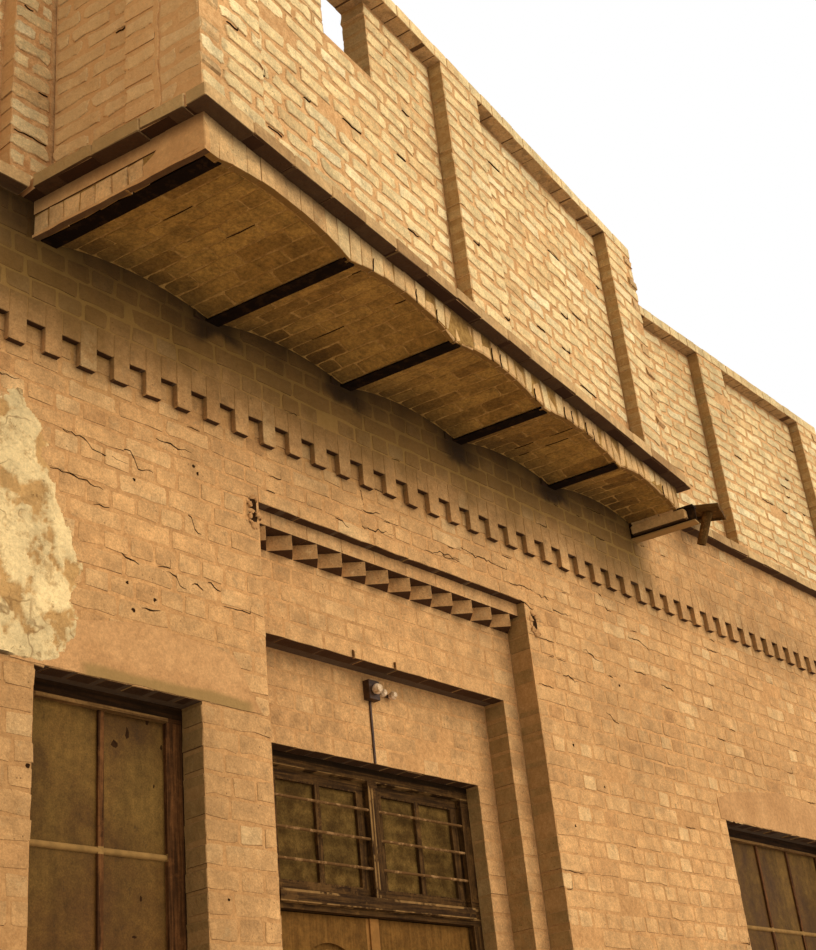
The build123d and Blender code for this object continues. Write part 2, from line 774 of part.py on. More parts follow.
with BuildPart() as door_leaf_right:
    door_leaf(1)
finish(door_leaf_right, "door_leaf_right")


# Hinges: an eye and strap on the leaf, a pin and its plate on the frame
def hinge_straps(side):
    for level in hinge_levels:
        with BuildSketch(Plane.XY.offset(level), mode=Mode.PRIVATE) as eye:
            with Locations((side * leaf_outer, hinge_y)):
                Circle(hinge_eye_radius)
            low, high = sorted((side * leaf_outer, side * (leaf_outer - hinge_strap_length)))
            with Locations(((low + high) / 2, leaf_back + hinge_strap_thickness / 2)):
                Rectangle(high - low, hinge_strap_thickness)
            with Locations((side * leaf_outer, hinge_y)):
                Circle(hinge_pin_radius + hinge_fit, mode=Mode.SUBTRACT)
        extrude(eye.sketch, amount=hinge_height)


with BuildPart() as hinge_straps_left:
    hinge_straps(-1)
finish(hinge_straps_left, "hinge_straps_left")

with BuildPart() as hinge_straps_right:
    hinge_straps(1)
finish(hinge_straps_right, "hinge_straps_right")

pin_plate_end = frame_inner + pin_plate_width
pin_plate_start = frame_inner + pin_plate_margin
pin_arm_face = hinge_y - pin_foot_radius
with BuildPart() as hinge_pins:
    for side in (-1, 1):
        for level in hinge_levels:
            foot = level - hinge_fit - pin_foot_height
            with BuildSketch(Plane.XY.offset(foot)):
                with Locations((side * leaf_outer, hinge_y)):
                    Circle(pin_foot_radius)
                with Locations((side * (leaf_outer + pin_plate_end) / 2, (pin_arm_face + hinge_y) / 2)):
                    Rectangle(pin_plate_end - leaf_outer, pin_foot_radius)
                plate_middle = side * (pin_plate_start + pin_plate_end) / 2
                with Locations((plate_middle, (frame_back + pin_arm_face) / 2)):
                    Rectangle(pin_plate_end - pin_plate_start, pin_arm_face - frame_back)
            extrude(amount=pin_foot_height)
            with BuildSketch(Plane.XY.offset(foot + pin_foot_height)):
                with Locations((side * leaf_outer, hinge_y)):
                    Circle(hinge_pin_radius)
            extrude(amount=hinge_height)
finish(hinge_pins, "hinge_pins")

# Lamp over the door: a lampholder on a backing box, an arm with two bulbs, and a cover strip down to the head
lamp_box_face = inner_recess_depth - lamp_box_depth
lamp_arm_face = inner_recess_depth - lamp_arm_depth


def lamp_head(x, face, radius):
    """A holder's neck and its rounded head, facing out from the wall, in the open builder."""
    for level, size, depth, taper in ((face, radius - lamp_neck_inset, lamp_neck_depth, 0),
                                      (face - lamp_neck_depth, radius, lamp_head_depth, 0),
                                      (face - lamp_neck_depth - lamp_head_depth, radius, lamp_head_depth,
                                       lamp_head_taper_deg)):
        plane = Plane(origin=(x, level, lamp_level), x_dir=(1, 0, 0), z_dir=(0, -1, 0))
        with BuildSketch(plane, mode=Mode.PRIVATE) as ring:
            RegularPolygon(size, lamp_bulb_facets)
        extrude(ring.sketch, amount=depth, taper=taper)


with BuildPart() as door_lamp:
    block(lamp_x - lamp_box_width / 2, lamp_x + lamp_box_width / 2, lamp_box_face, inner_recess_depth,
          lamp_level - lamp_box_height / 2, lamp_level + lamp_box_height / 2)
    block(lamp_x, lamp_x + 2 * lamp_bulb_pitch, lamp_arm_face, inner_recess_depth,
          lamp_level - lamp_arm_height / 2, lamp_level + lamp_arm_height / 2)
    block(lamp_x - lamp_strip_width / 2, lamp_x + lamp_strip_width / 2, inner_recess_depth - lamp_strip_depth,
          inner_recess_depth, door_head_level, lamp_level - lamp_box_height / 2 - lamp_strip_gap)
    lamp_head(lamp_x, lamp_box_face, lamp_holder_radius)
    lamp_head(lamp_x + lamp_bulb_pitch, lamp_arm_face, lamp_bulb_radius)
    lamp_head(lamp_x + 2 * lamp_bulb_pitch, lamp_arm_face, lamp_bulb_radius)
finish(door_lamp, "door_lamp")

# Spout on the ledge: a tilted tray with a turned-down rim, a strap on the ledge and an open tube below
tray_centre = Vector(spout_x, ledge_face - spout_reach, terrace_level + spout_lift)
tray_along = Vector(1, 0, 0).rotate(Axis.Y, -spout_rise_deg).rotate(Axis.Z, spout_turn_deg)
tray_up = Vector(0, 0, 1).rotate(Axis.X, spout_roll_deg).rotate(Axis.Y, -spout_rise_deg)
tray_up = tray_up.rotate(Axis.Z, spout_turn_deg)
tray_inward = tray_up.cross(tray_along)
tray_plane = Plane(origin=tray_centre, x_dir=tray_along, z_dir=tray_up)
tray_corner = tray_centre + tray_along * (spout_tray_length / 2) + tray_inward * (spout_tray_width / 2)
tube_down = Vector(0, 0, -1).rotate(Axis.X, spout_lean_deg)
tube_plane = Plane(origin=tray_centre, x_dir=(1, 0, 0), z_dir=tube_down)
rim_depth = spout_tray_height - spout_sheet
with BuildPart() as wall_bracket:
    with BuildSketch(tray_plane, mode=Mode.PRIVATE) as sheet:
        Rectangle(spout_tray_length, spout_tray_width)
    extrude(sheet.sketch, amount=spout_sheet)
    with BuildSketch(tray_plane, mode=Mode.PRIVATE) as rim:
        Rectangle(spout_tray_length, spout_tray_width)
        Rectangle(spout_tray_length - 2 * spout_sheet, spout_tray_width - 2 * spout_sheet, mode=Mode.SUBTRACT)
    extrude(rim.sketch, amount=-rim_depth)
    block(tray_corner.X - spout_strap_width, tray_corner.X, tray_corner.Y - spout_strap_width,
          -spout_strap_gap, terrace_level, tray_corner.Z)
    with BuildSketch(tube_plane, mode=Mode.PRIVATE) as tube:
        RegularPolygon(spout_tube_radius, spout_tube_facets)
        RegularPolygon(spout_tube_radius - spout_tube_wall, spout_tube_facets, mode=Mode.SUBTRACT)
    extrude(tube.sketch, amount=spout_tube_length)
finish(wall_bracket, "wall_bracket")
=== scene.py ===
"""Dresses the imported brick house: bricks, tiles, timber, steel, glass, light and camera.

Metres, in the frame of the CAD part: X along the front, Y into the house, Z up.
"""
import json
import math

import bpy
import numpy as np
from mathutils import Matrix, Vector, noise


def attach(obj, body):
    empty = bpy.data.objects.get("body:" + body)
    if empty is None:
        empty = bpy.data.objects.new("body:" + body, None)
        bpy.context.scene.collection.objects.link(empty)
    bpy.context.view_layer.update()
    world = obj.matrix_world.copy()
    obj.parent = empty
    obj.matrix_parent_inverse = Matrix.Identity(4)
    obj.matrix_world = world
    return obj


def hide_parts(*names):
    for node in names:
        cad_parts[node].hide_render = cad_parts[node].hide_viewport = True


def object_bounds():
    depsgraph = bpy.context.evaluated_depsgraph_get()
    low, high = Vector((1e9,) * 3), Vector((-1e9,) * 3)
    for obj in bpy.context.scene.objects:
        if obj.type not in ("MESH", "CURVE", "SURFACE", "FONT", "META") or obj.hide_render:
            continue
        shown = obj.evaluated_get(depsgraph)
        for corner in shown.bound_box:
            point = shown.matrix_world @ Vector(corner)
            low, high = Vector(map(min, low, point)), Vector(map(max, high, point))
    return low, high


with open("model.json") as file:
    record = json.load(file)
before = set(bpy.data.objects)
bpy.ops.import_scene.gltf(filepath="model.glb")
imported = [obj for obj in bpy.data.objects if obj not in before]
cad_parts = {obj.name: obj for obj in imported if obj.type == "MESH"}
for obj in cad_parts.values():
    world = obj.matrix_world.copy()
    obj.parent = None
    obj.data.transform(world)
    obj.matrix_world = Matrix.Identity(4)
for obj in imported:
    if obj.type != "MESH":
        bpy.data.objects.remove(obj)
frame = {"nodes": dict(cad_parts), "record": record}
cad_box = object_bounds()
nodes = frame["nodes"]
rng = np.random.default_rng(11)

UP = np.array((0.0, 0.0, 1.0))
EAST = np.array((1.0, 0.0, 0.0))
NORTH = np.array((0.0, 1.0, 0.0))
BOX_LOW, BOX_HIGH = (np.array(corner) for corner in cad_box)

# Sizes repeated from the CAD part
HOUSE_HALF = 6.1
ROOM_HALF = 5.74
WALL = 0.5
REAR_INNER = 4.44
HOUSE_DEPTH = 4.8
BAND_FACE = -0.03
BAND_LOW = 4.69
TEETH_LOW = 4.572
TEETH_TOP = 4.81
WINDOW_HEAD = 3.27
TOOTH_WIDTH = 0.085
TOOTH_PITCH = 0.173
TOOTH_COUNT = 70
TOOTH_DEPTH = 0.0295
SOFFIT = 5.1
LEDGE_LOW = 5.28
TERRACE = 5.35
COPING_LOW = 7.09
PARAPET_TOP = 7.175
PARAPET_THICK = 0.24
RECESS_HALF = 1.015
RECESS_DEPTH = 0.135
FRIEZE_FACE = 0.05
FRIEZE_LOW = 4.2
FRIEZE_TOP = 4.275
SAW_LOW = 4.125
SAW_COUNT = 12
CORNER = np.array((-2.137, -0.929, 0.0))
BALCONY_LENGTH = 4.605
FRONT_TURN = math.radians(7.1)
BEAM_TURN = math.radians(9.2)
BEAM_FIRST = -2.202
BEAM_PITCH = 0.911
BEAM_COUNT = 6
FLANGE = 0.075
ARCH_RISE = 0.052
ARCH_SPRING = 0.012

FRONT_DIR = np.array((math.cos(FRONT_TURN), math.sin(FRONT_TURN), 0.0))
FRONT_IN = np.array((-FRONT_DIR[1], FRONT_DIR[0], 0.0))
BEAM_IN = np.array((-math.sin(BEAM_TURN), math.cos(BEAM_TURN), 0.0))
BEAM_ACROSS = np.array((BEAM_IN[1], -BEAM_IN[0], 0.0))

# Brickwork
JOINT = 0.012
PARAPET_JOINT = 0.022
SHORT = 0.17
LOWER_SINK = 0.0025
RECESS_SINK = 0.0014
PARAPET_SINK = 0.006
SOFFIT_SINK = 0.004
RETURN_SINK = 0.002
STRETCHER = 0.257
HEADER = 0.129
LEAD_STRETCHER = 0.115
LEAD_HEADER = 0.235
UNDER = 0.002
CRACK_OUT = 0.0006
CRACK_DEPTH = 0.006
BRICK_DEPTH = 0.075
BAND_DEPTH = 0.1
END_GAP = 0.003
LEDGE_DEPTH = 0.1
LEDGE_PITCH = 0.256
EDGE_PITCH = 0.0885
VAULT_ROWS = 9
VAULT_GAP = 0.004
TILE = 0.25
TILE_GAP = 0.004
TILE_LEAST = 0.0008
FRIEZE_BRICKS = 8.5

# How each kind of brick is worn: bevel, corner, most sink, wobble of its outline and tilt of its face
WORN = {
    "parapet": (0.005, 0.026, 0.003, 0.0045, 0.006),
    "sheltered": (0.002, 0.005, 0.0012, 0.001, 0.002),
    "lower": (0.003, 0.012, 0.002, 0.0028, 0.006),
}

# Heights laid in even courses: zone, foot, top and number of courses
ZONES = [
    ("lower", 0.0, 0.98, 11),
    ("lower", 0.98, 3.27, 25),
    ("lower", 3.27, 3.72, 5),
    ("lower", 3.72, 4.275, 6),
    ("lower", 4.275, BAND_LOW, 5),
    ("lower", TEETH_TOP, LEDGE_LOW, 5),
    ("parapet", TERRACE, COPING_LOW, 19),
]

MASONRY = [
    "front_wall_left", "front_wall_right", "wall_over_door", "recess_head", "door_head",
    "door_jamb_left", "door_jamb_right", "dentil_band", "rear_wall", "party_wall_left",
    "party_wall_right", "balcony_arches", "balcony_ledge", "ledge_left", "ledge_right", "ledge_rear",
    "balcony_parapet_front", "balcony_parapet_left", "balcony_parapet_right", "parapet_front_left",
    "parapet_front_right", "parapet_side_left", "parapet_side_right", "parapet_rear", "roof_paving",
]


# Material building
class Shader:
    """A small helper that builds one procedural material."""

    def __init__(self, name, roughness=0.9, specular=0.12):
        self.material = bpy.data.materials.new(name)
        self.material.use_nodes = True
        self.tree = self.material.node_tree
        self.surface = self.tree.nodes["Principled BSDF"]
        self.surface.inputs["Roughness"].default_value = roughness
        self.surface.inputs["Specular IOR Level"].default_value = specular
        source = self.tree.nodes.new("ShaderNodeTexCoord")
        self.place = source.outputs["Object"]
        self.x, self.y, self.z = self.split(self.place)
        self.facing = self.split(source.outputs["Normal"])

    def split(self, vector):
        """The x, y and z outputs of a vector."""
        node = self.tree.nodes.new("ShaderNodeSeparateXYZ")
        self.join(vector, node.inputs[0])
        return node.outputs

    def join(self, value, socket):
        """Links an output, or writes a constant, into a socket."""
        if isinstance(value, bpy.types.NodeSocket):
            self.tree.links.new(value, socket)
        elif isinstance(value, (tuple, list)) and len(value) == 3 and socket.type == "RGBA":
            socket.default_value = (*value, 1.0)
        else:
            socket.default_value = value

    def math(self, operation, a, b=0.0, clamp=False):
        """One step of arithmetic on outputs or constants."""
        node = self.tree.nodes.new("ShaderNodeMath")
        node.operation = operation
        node.use_clamp = clamp
        self.join(a, node.inputs[0])
        self.join(b, node.inputs[1])
        return node.outputs[0]

    def ramp(self, value, low, high, out_low=0.0, out_high=1.0):
        """Smooth step of a value from low to high."""
        node = self.tree.nodes.new("ShaderNodeMapRange")
        node.interpolation_type = "SMOOTHSTEP"
        self.join(value, node.inputs["Value"])
        limits = {"From Min": low, "From Max": high, "To Min": out_low, "To Max": out_high}
        for name, number in limits.items():
            node.inputs[name].default_value = number
        return node.outputs[0]

    def times(self, *values):
        """The product of several values."""
        total = values[0]
        for value in values[1:]:
            total = self.math("MULTIPLY", total, value)
        return total

    def within(self, value, low, high, soft):
        """1 between low and high, falling to 0 over soft outside them."""
        return self.times(self.ramp(value, low - soft, low), self.ramp(value, high, high + soft, 1.0, 0.0))

    def turned(self, axis, low, high, most):
        """How far a face looks down the negative side of an axis, up to most."""
        return self.ramp(self.times(self.facing[axis], -1.0), low, high, 0.0, most)

    def jitter(self, value, cloud, amount):
        """A value moved up and down by a noise, by up to half the amount."""
        return self.math("ADD", value, self.times(self.math("SUBTRACT", cloud, 0.5), amount))

    def tone_and(self, cloud, own, shared):
        """Each brick's own tone and a noise, added by their shares."""
        return self.math("ADD", self.times(self.attribute("tone"), own), self.times(cloud, shared))

    def texture(self, kind, scale, stretch=(1.0, 1.0, 1.0)):
        """A texture node laid over the piece's own coordinates."""
        mapping = self.tree.nodes.new("ShaderNodeMapping")
        self.join(self.place, mapping.inputs["Vector"])
        mapping.inputs["Scale"].default_value = stretch
        node = self.tree.nodes.new(kind)
        self.join(mapping.outputs[0], node.inputs["Vector"])
        node.inputs["Scale"].default_value = scale
        return node

    def noise(self, scale, detail=4.0, roughness=0.55, stretch=(1.0, 1.0, 1.0), distortion=0.0):
        """A cloudy value round 0.5."""
        node = self.texture("ShaderNodeTexNoise", scale, stretch)
        for name, number in (("Detail", detail), ("Roughness", roughness), ("Distortion", distortion)):
            node.inputs[name].default_value = number
        return node.outputs[0]

    def cells(self, scale):
        """Distance to the nearest of many scattered points."""
        return self.texture("ShaderNodeTexVoronoi", scale).outputs["Distance"]

    def attribute(self, name):
        """A value stored at the mesh's points."""
        node = self.tree.nodes.new("ShaderNodeAttribute")
        node.attribute_name = name
        return node.outputs["Fac"]

    def mix(self, factor, a, b, mode="MIX"):
        """Colour a where the factor is 0 and b where it is 1."""
        node = self.tree.nodes.new("ShaderNodeMix")
        node.data_type = "RGBA"
        node.blend_type = mode
        self.join(factor, node.inputs[0])
        self.join(a, node.inputs[6])
        self.join(b, node.inputs[7])
        return node.outputs[2]

    def shade(self, colour, amount, low, high):
        """Multiplies a colour by a grey between low and high."""
        return self.mix(1.0, colour, self.ramp(amount, 0.25, 0.75, low, high), "MULTIPLY")

    def mottle(self, colour, *noises):
        """Shades a colour by noises, each (scale, detail, roughness, darkest, lightest)."""
        for scale, detail, roughness, low, high in noises:
            colour = self.shade(colour, self.noise(scale, detail, roughness), low, high)
        return colour

    def bump(self, *layers):
        """Stacks bump layers, each (height, strength, distance)."""
        normal = None
        for height, strength, distance in layers:
            node = self.tree.nodes.new("ShaderNodeBump")
            self.join(height, node.inputs["Height"])
            node.inputs["Strength"].default_value = strength
            node.inputs["Distance"].default_value = distance
            if normal is not None:
                self.join(normal, node.inputs["Normal"])
            normal = node.outputs[0]
        self.join(normal, self.surface.inputs["Normal"])

    def done(self, colour):
        """Sets the surface's colour and hands the material over."""
        self.join(colour, self.surface.inputs["Base Color"])
        return self.material


def tint(colour, share):
    """A colour made darker or lighter by a share."""
    return tuple(share * channel for channel in colour)


def weather(s, colour, soot_and_shade, west_shade, under=0.88, below=(0.04, 0.015, 0.005)):
    """Painted shade on faces turned west; soot and painted shade under the balcony; darker at the wall's lower
    left; painted shade over the band's teeth on the right; soot at the beam ends; a painted shadow under the
    ledge; painted shade and soot on faces turned down.
    """
    cloud = s.noise(2.2, 4.0, 0.6, (1.0, 1.0, 0.45))
    if west_shade:
        # Painted shade on faces turned west: dark brown from x -2.1 rightwards, a flat mid brown further left
        west = s.turned(0, 0.5, 0.95, west_shade)
        colour = s.mix(s.times(west, s.ramp(s.x, -2.1, -2.0)), colour, (0.15, 0.1, 0.02))
        far_west = s.times(west, s.ramp(s.x, -2.0, -2.1))
        colour = s.mix(s.math("MULTIPLY", far_west, 1.2, True), colour, (0.6, 0.32, 0.115))
    if soot_and_shade is not None:
        level = s.jitter(s.z, cloud, 0.5)
        balcony_soot_and_shade = s.times(s.within(s.x, -2.4, 2.3, 0.35), s.ramp(s.z, 5.32, 5.29), s.ramp(s.y, 0.5, 0.4))
        # Darker at the lower left of the wall, and painted shade over the band's teeth on the right
        left_foot = s.times(s.ramp(s.x, -0.9, -1.5), s.ramp(level, 3.9, 3.1))
        right_teeth_shade = s.times(s.within(level, 4.55, 4.8, 0.15), s.ramp(s.x, 1.0, 2.0), 0.7)
        colour = s.mix(s.times(s.math("MAXIMUM", left_foot, right_teeth_shade), 0.3), colour, (0.2, 0.1, 0.03))
        # Soot and painted shade under the balcony, darkest up towards the soffit
        colour = s.mix(s.times(s.ramp(level, 4.4, 4.95, 0.0, 0.9), balcony_soot_and_shade), colour, soot_and_shade)
        colour = s.mix(s.times(s.ramp(level, 4.9, 5.25, 0.0, 0.8), balcony_soot_and_shade), colour, (0.03, 0.014, 0.004))
        bay = s.math("DIVIDE", s.math("SUBTRACT", s.x, BEAM_FIRST), BEAM_PITCH)
        reach = s.jitter(s.math("PINGPONG", bay, 0.5), cloud, 0.5)
        burnt = s.times(s.ramp(reach, 0.26, 0.06), s.within(level, 5.03, 5.2, 0.07),
                        s.within(s.x, -1.6, 1.7, 0.1))
        colour = s.mix(s.times(burnt, 0.85), colour, (0.02, 0.009, 0.003))
    # Painted shadow of the ledge on the top of the slab's edge
    shaded = s.times(s.ramp(s.z, LEDGE_LOW - 0.08, LEDGE_LOW - 0.002, 0.0, 0.6),
                     s.ramp(s.z, LEDGE_LOW + 0.002, LEDGE_LOW + 0.0015), s.ramp(s.y, -0.03, -0.04))
    colour = s.mix(shaded, colour, (0.05, 0.02, 0.006))
    # Faces turned down go towards the below colour, by the share under: painted shade, with soot
    return s.mix(s.turned(2, 0.6, 0.95, under), colour, below)


def brick_material(name, tones, smear, spread=0.7, fine=0.26, soot_and_shade=(0.13, 0.062, 0.01), streaks=0.0,
                   west_shade=0.58, under=0.94, hairline=0.7, below=(0.034, 0.012, 0.0035)):
    """Worn brick: a tone for each brick, mortar smeared over its edges, blotches, grit, pits, and soot with
    painted shade.
    """
    dark, middle, light = tones
    s = Shader(name)
    grit = s.noise(110.0, 4.0, 0.8)
    ragged = s.noise(22.0, 6.0, 0.7)
    blots = s.noise(15.0, 7.0, 0.75)
    edge = s.attribute("edge")
    value = s.tone_and(s.noise(3.1, 5.0, 0.6), spread, 1.2 - spread)
    colour = s.mix(s.ramp(value, 0.2, 0.62), dark, middle)
    colour = s.mix(s.ramp(value, 0.62, 1.0), colour, light)
    colour = s.mix(s.ramp(s.jitter(edge, ragged, 2.6), 0.3, 0.8, 0.0, 0.9), colour, smear)
    recess = s.times(s.ramp(s.y, 0.03, 0.04), s.within(s.x, -1.02, 1.02, 0.01))
    colour = s.mix(s.times(recess, 0.55), colour, smear)
    colour = s.mix(s.ramp(blots, 0.54, 0.68, 0.0, 0.5), colour, light)
    colour = s.mottle(colour, (0.9, 3.0, 0.5, 0.8, 1.08), (9.0, 6.0, 0.7, 0.7, 1.2),
                      (45.0, 5.0, 0.75, 0.88, 1.1))
    colour = s.shade(colour, grit, 1.0 - fine, 1.0 + fine * 0.7)
    stain = s.times(s.ramp(blots, 0.54, 0.66), s.ramp(s.noise(2.1), 0.36, 0.6))
    colour = s.mix(s.times(stain, 0.6), colour, tint(dark, 0.4))
    street = s.ramp(s.math("ABSOLUTE", s.facing[0]), 0.9, 0.6)
    gap = s.times(s.ramp(edge, 0.7, 0.95), s.ramp(s.noise(9.0), 0.5, 0.6), street,
                  s.ramp(recess, 0.0, 1.0, 1.0, 0.35))
    colour = s.mix(s.times(gap, hairline), colour, tint(dark, 0.16))
    speck = s.times(s.ramp(s.cells(42.0), 0.2, 0.07), s.ramp(s.noise(7.0), 0.5, 0.62))
    colour = s.mix(s.times(speck, 0.8), colour, tint(dark, 0.25))
    if streaks:
        run = s.noise(7.0, 5.0, 0.65, (1.0, 1.0, 0.12))
        colour = s.mix(s.ramp(run, 0.6, 0.8, 0.0, streaks), colour, tint(dark, 0.45))
    s.bump((grit, 0.6, 0.004), (ragged, 0.8, 0.014), (s.noise(6.0, 3.0), 0.6, 0.04), (speck, -0.6, 0.004))
    return s.done(weather(s, colour, soot_and_shade, west_shade, under, below))


def mortar_material(name, dark, light, soot_and_shade=(0.2, 0.108, 0.022), west_shade=0.45, under=0.88):
    """Sandy mortar of the joints."""
    s = Shader(name, 0.95)
    lumps = s.noise(26.0, 7.0, 0.75)
    colour = s.mix(s.ramp(lumps, 0.35, 0.65), dark, light)
    colour = s.mottle(colour, (2.3, 4.0, 0.55, 0.85, 1.08), (110.0, 4.0, 0.8, 0.8, 1.14))
    s.bump((lumps, 0.7, 0.008), (s.noise(120.0), 0.4, 0.002))
    return s.done(weather(s, colour, soot_and_shade, west_shade, under))


def plaster_material(name, dark, light, smudge=None):
    """Smooth plaster; smudge gives the ends of a dirty streak along its lower edge, and its colour."""
    s = Shader(name, 0.93)
    colour = s.mix(s.ramp(s.noise(3.0, 8.0, 0.7), 0.38, 0.66), dark, light)
    colour = s.mottle(colour, (38.0, 5.0, 0.55, 0.84, 1.08), (110.0, 4.0, 0.8, 0.8, 1.14))
    if smudge:
        left, right, dirt = smudge
        level = s.jitter(s.z, s.noise(5.0), 0.04)
        low = s.ramp(level, WINDOW_HEAD + 0.06, WINDOW_HEAD + 0.03)
        colour = s.mix(s.times(low, s.within(s.x, left, right, 0.06), 0.75), colour, dirt)
    s.bump((s.noise(9.0, 5.0), 0.6, 0.02), (s.noise(90.0), 0.4, 0.003))
    return s.done(weather(s, colour, soot_and_shade=None, west_shade=0.3))


def peeling_material():
    """Peeling plaster: pale flakes over a brown coat."""
    s = Shader("peeling plaster", 0.95)
    rough = s.noise(14.0, 8.0, 0.75)
    level = s.jitter(s.attribute("tone"), rough, 1.6)
    colour = s.mix(s.ramp(level, 0.1, 0.9), (0.6, 0.33, 0.11), (0.88, 0.62, 0.28))
    colour = s.mix(s.ramp(s.noise(9.0, 8.0, 0.8), 0.53, 0.62, 0.0, 0.6), colour, (0.46, 0.25, 0.08))
    colour = s.mix(s.ramp(s.noise(24.0, 8.0, 0.8), 0.6, 0.66, 0.0, 0.8), colour, (0.2, 0.1, 0.03))
    ridge = s.math("ABSOLUTE", s.math("SUBTRACT", s.noise(4.5, 3.0, 0.5), 0.5))
    crevice = s.times(s.ramp(ridge, 0.003, 0.014, 1.0, 0.0), s.ramp(s.noise(3.1), 0.45, 0.6))
    colour = s.mix(s.times(crevice, 0.6), colour, (0.3, 0.15, 0.045))
    colour = s.mottle(colour, (4.0, 4.0, 0.6, 0.72, 1.1), (60.0, 6.0, 0.75, 0.76, 1.14))
    s.bump((rough, 0.6, 0.02), (s.noise(70.0, 5.0), 0.5, 0.005))
    return s.done(weather(s, colour, soot_and_shade=None, west_shade=0.3))


def soffit_material():
    """Sooty bricks of the balcony's arches."""
    s = Shader("soffit brick", 0.92)
    value = s.tone_and(s.noise(1.6, 5.0, 0.6), 0.6, 0.7)
    colour = s.mix(s.ramp(value, 0.3, 0.9), (0.17, 0.08, 0.014), (0.31, 0.16, 0.032))
    worn = s.jitter(s.attribute("edge"), s.noise(19.0, 5.0), 2.6)
    colour = s.mix(s.ramp(worn, 0.3, 0.8, 0.0, 0.85), colour, (0.25, 0.125, 0.025))
    colour = s.mottle(colour, (10.0, 7.0, 0.75, 0.65, 1.45), (60.0, 5.0, 0.8, 0.6, 1.4))
    # Painted shade: darker from 0.3 m before the wall line, where the vault meets the wall, and all through
    # the arches behind it
    colour = s.mix(s.times(s.ramp(s.y, -0.3, 0.0), 0.6), colour, (0.035, 0.015, 0.004))
    s.bump((s.noise(60.0, 5.0, 0.7), 0.8, 0.006), (s.noise(14.0, 5.0, 0.7), 0.7, 0.016))
    return s.done(colour)


def wood_material(name, dark, light, worn=0.35, rails=(), pale=(), pale_colour=(0.3, 0.16, 0.045),
                  shade_over=9.0, broken=False):
    """Weathered wood: grain upright, and level in rails; pale boxes of x and z, for pale parts and, on the
    transom, painted highlights; painted shade, near black, over a level.
    """
    s = Shader(name, 0.85, 0.06)
    across = 0.0
    for low, high in rails:
        across = s.math("MAXIMUM", across, s.within(s.z, low, high, 0.0005))
    mixer = s.tree.nodes.new("ShaderNodeMix")
    s.join(across, mixer.inputs[0])
    s.join(s.noise(3.0, 7.0, 0.65, (22.0, 22.0, 1.1), 0.4), mixer.inputs[2])
    s.join(s.noise(3.0, 7.0, 0.65, (1.1, 22.0, 22.0), 0.4), mixer.inputs[3])
    grain = mixer.outputs[0]
    colour = s.mix(s.ramp(grain, 0.35, 0.68), dark, light)
    colour = s.mottle(colour, (60.0, 5.0, 0.75, 0.75, 1.2))
    peel = s.ramp(s.noise(9.0, 7.0, 0.75), 0.55, 0.62)
    colour = s.mix(s.times(peel, worn), colour, tint(light, 2.0))
    # Pale boxes: painted highlights on the transom, pale crossbars and a pale strip elsewhere
    bar = 0.0
    for x_low, x_high, z_low, z_high in pale:
        box = s.times(s.within(s.x, x_low, x_high, 0.0005), s.within(s.z, z_low, z_high, 0.0005))
        bar = s.math("MAXIMUM", bar, box)
    if broken:
        bar = s.times(bar, s.ramp(s.noise(11.0, 5.0), 0.42, 0.52))
    if pale:
        colour = s.mix(s.times(bar, 0.85), colour, pale_colour)
        colour = s.mottle(colour, (25.0, 5.0, 0.55, 0.8, 1.15))
    # Painted shade: near black above the level shade_over, under the heads
    colour = s.mix(s.ramp(s.z, shade_over - 0.004, shade_over, 0.0, 0.8), colour, (0.012, 0.006, 0.002))
    s.bump((grain, 0.5, 0.003), (s.noise(60.0), 0.3, 0.0015), (peel, -0.5, 0.002))
    return s.done(colour)


def steel_material(name, dark, rust, foot=None):
    """Rusty steel; foot gives a level and the colour of what lies below it."""
    s = Shader(name, 0.9, 0.03)
    flakes = s.noise(24.0, 6.0, 0.7)
    colour = s.mix(s.ramp(flakes, 0.48, 0.66), dark, rust)
    if foot:
        colour = s.mix(s.ramp(s.z, foot[0] + 0.001, foot[0] - 0.001), colour, foot[1])
    s.join(s.ramp(flakes, 0.4, 0.7, 0.75, 0.95), s.surface.inputs["Roughness"])
    s.bump((flakes, 0.5, 0.003), (s.noise(140.0), 0.3, 0.001))
    return s.done(colour)


def lamp_material():
    """A pale holder and bulbs in front of a dark box, arm and strip."""
    s = Shader("lamp", 0.6, 0.2)
    holder = s.times(s.ramp(s.x, -0.018, -0.022), s.ramp(s.y, 0.2265, 0.226))
    bulbs = s.times(s.ramp(s.x, -0.022, -0.018), s.ramp(s.y, 0.2565, 0.256))
    dirt = s.noise(45.0, 5.0, 0.7)
    dirty = s.ramp(dirt, 0.4, 0.65)
    dark = s.mix(dirty, (0.07, 0.03, 0.01), (0.03, 0.014, 0.005))
    light = s.mix(dirty, (0.75, 0.52, 0.3), (0.4, 0.22, 0.08))
    s.bump((dirt, 0.3, 0.001))
    return s.done(s.mix(s.math("MAXIMUM", holder, bulbs), dark, light))


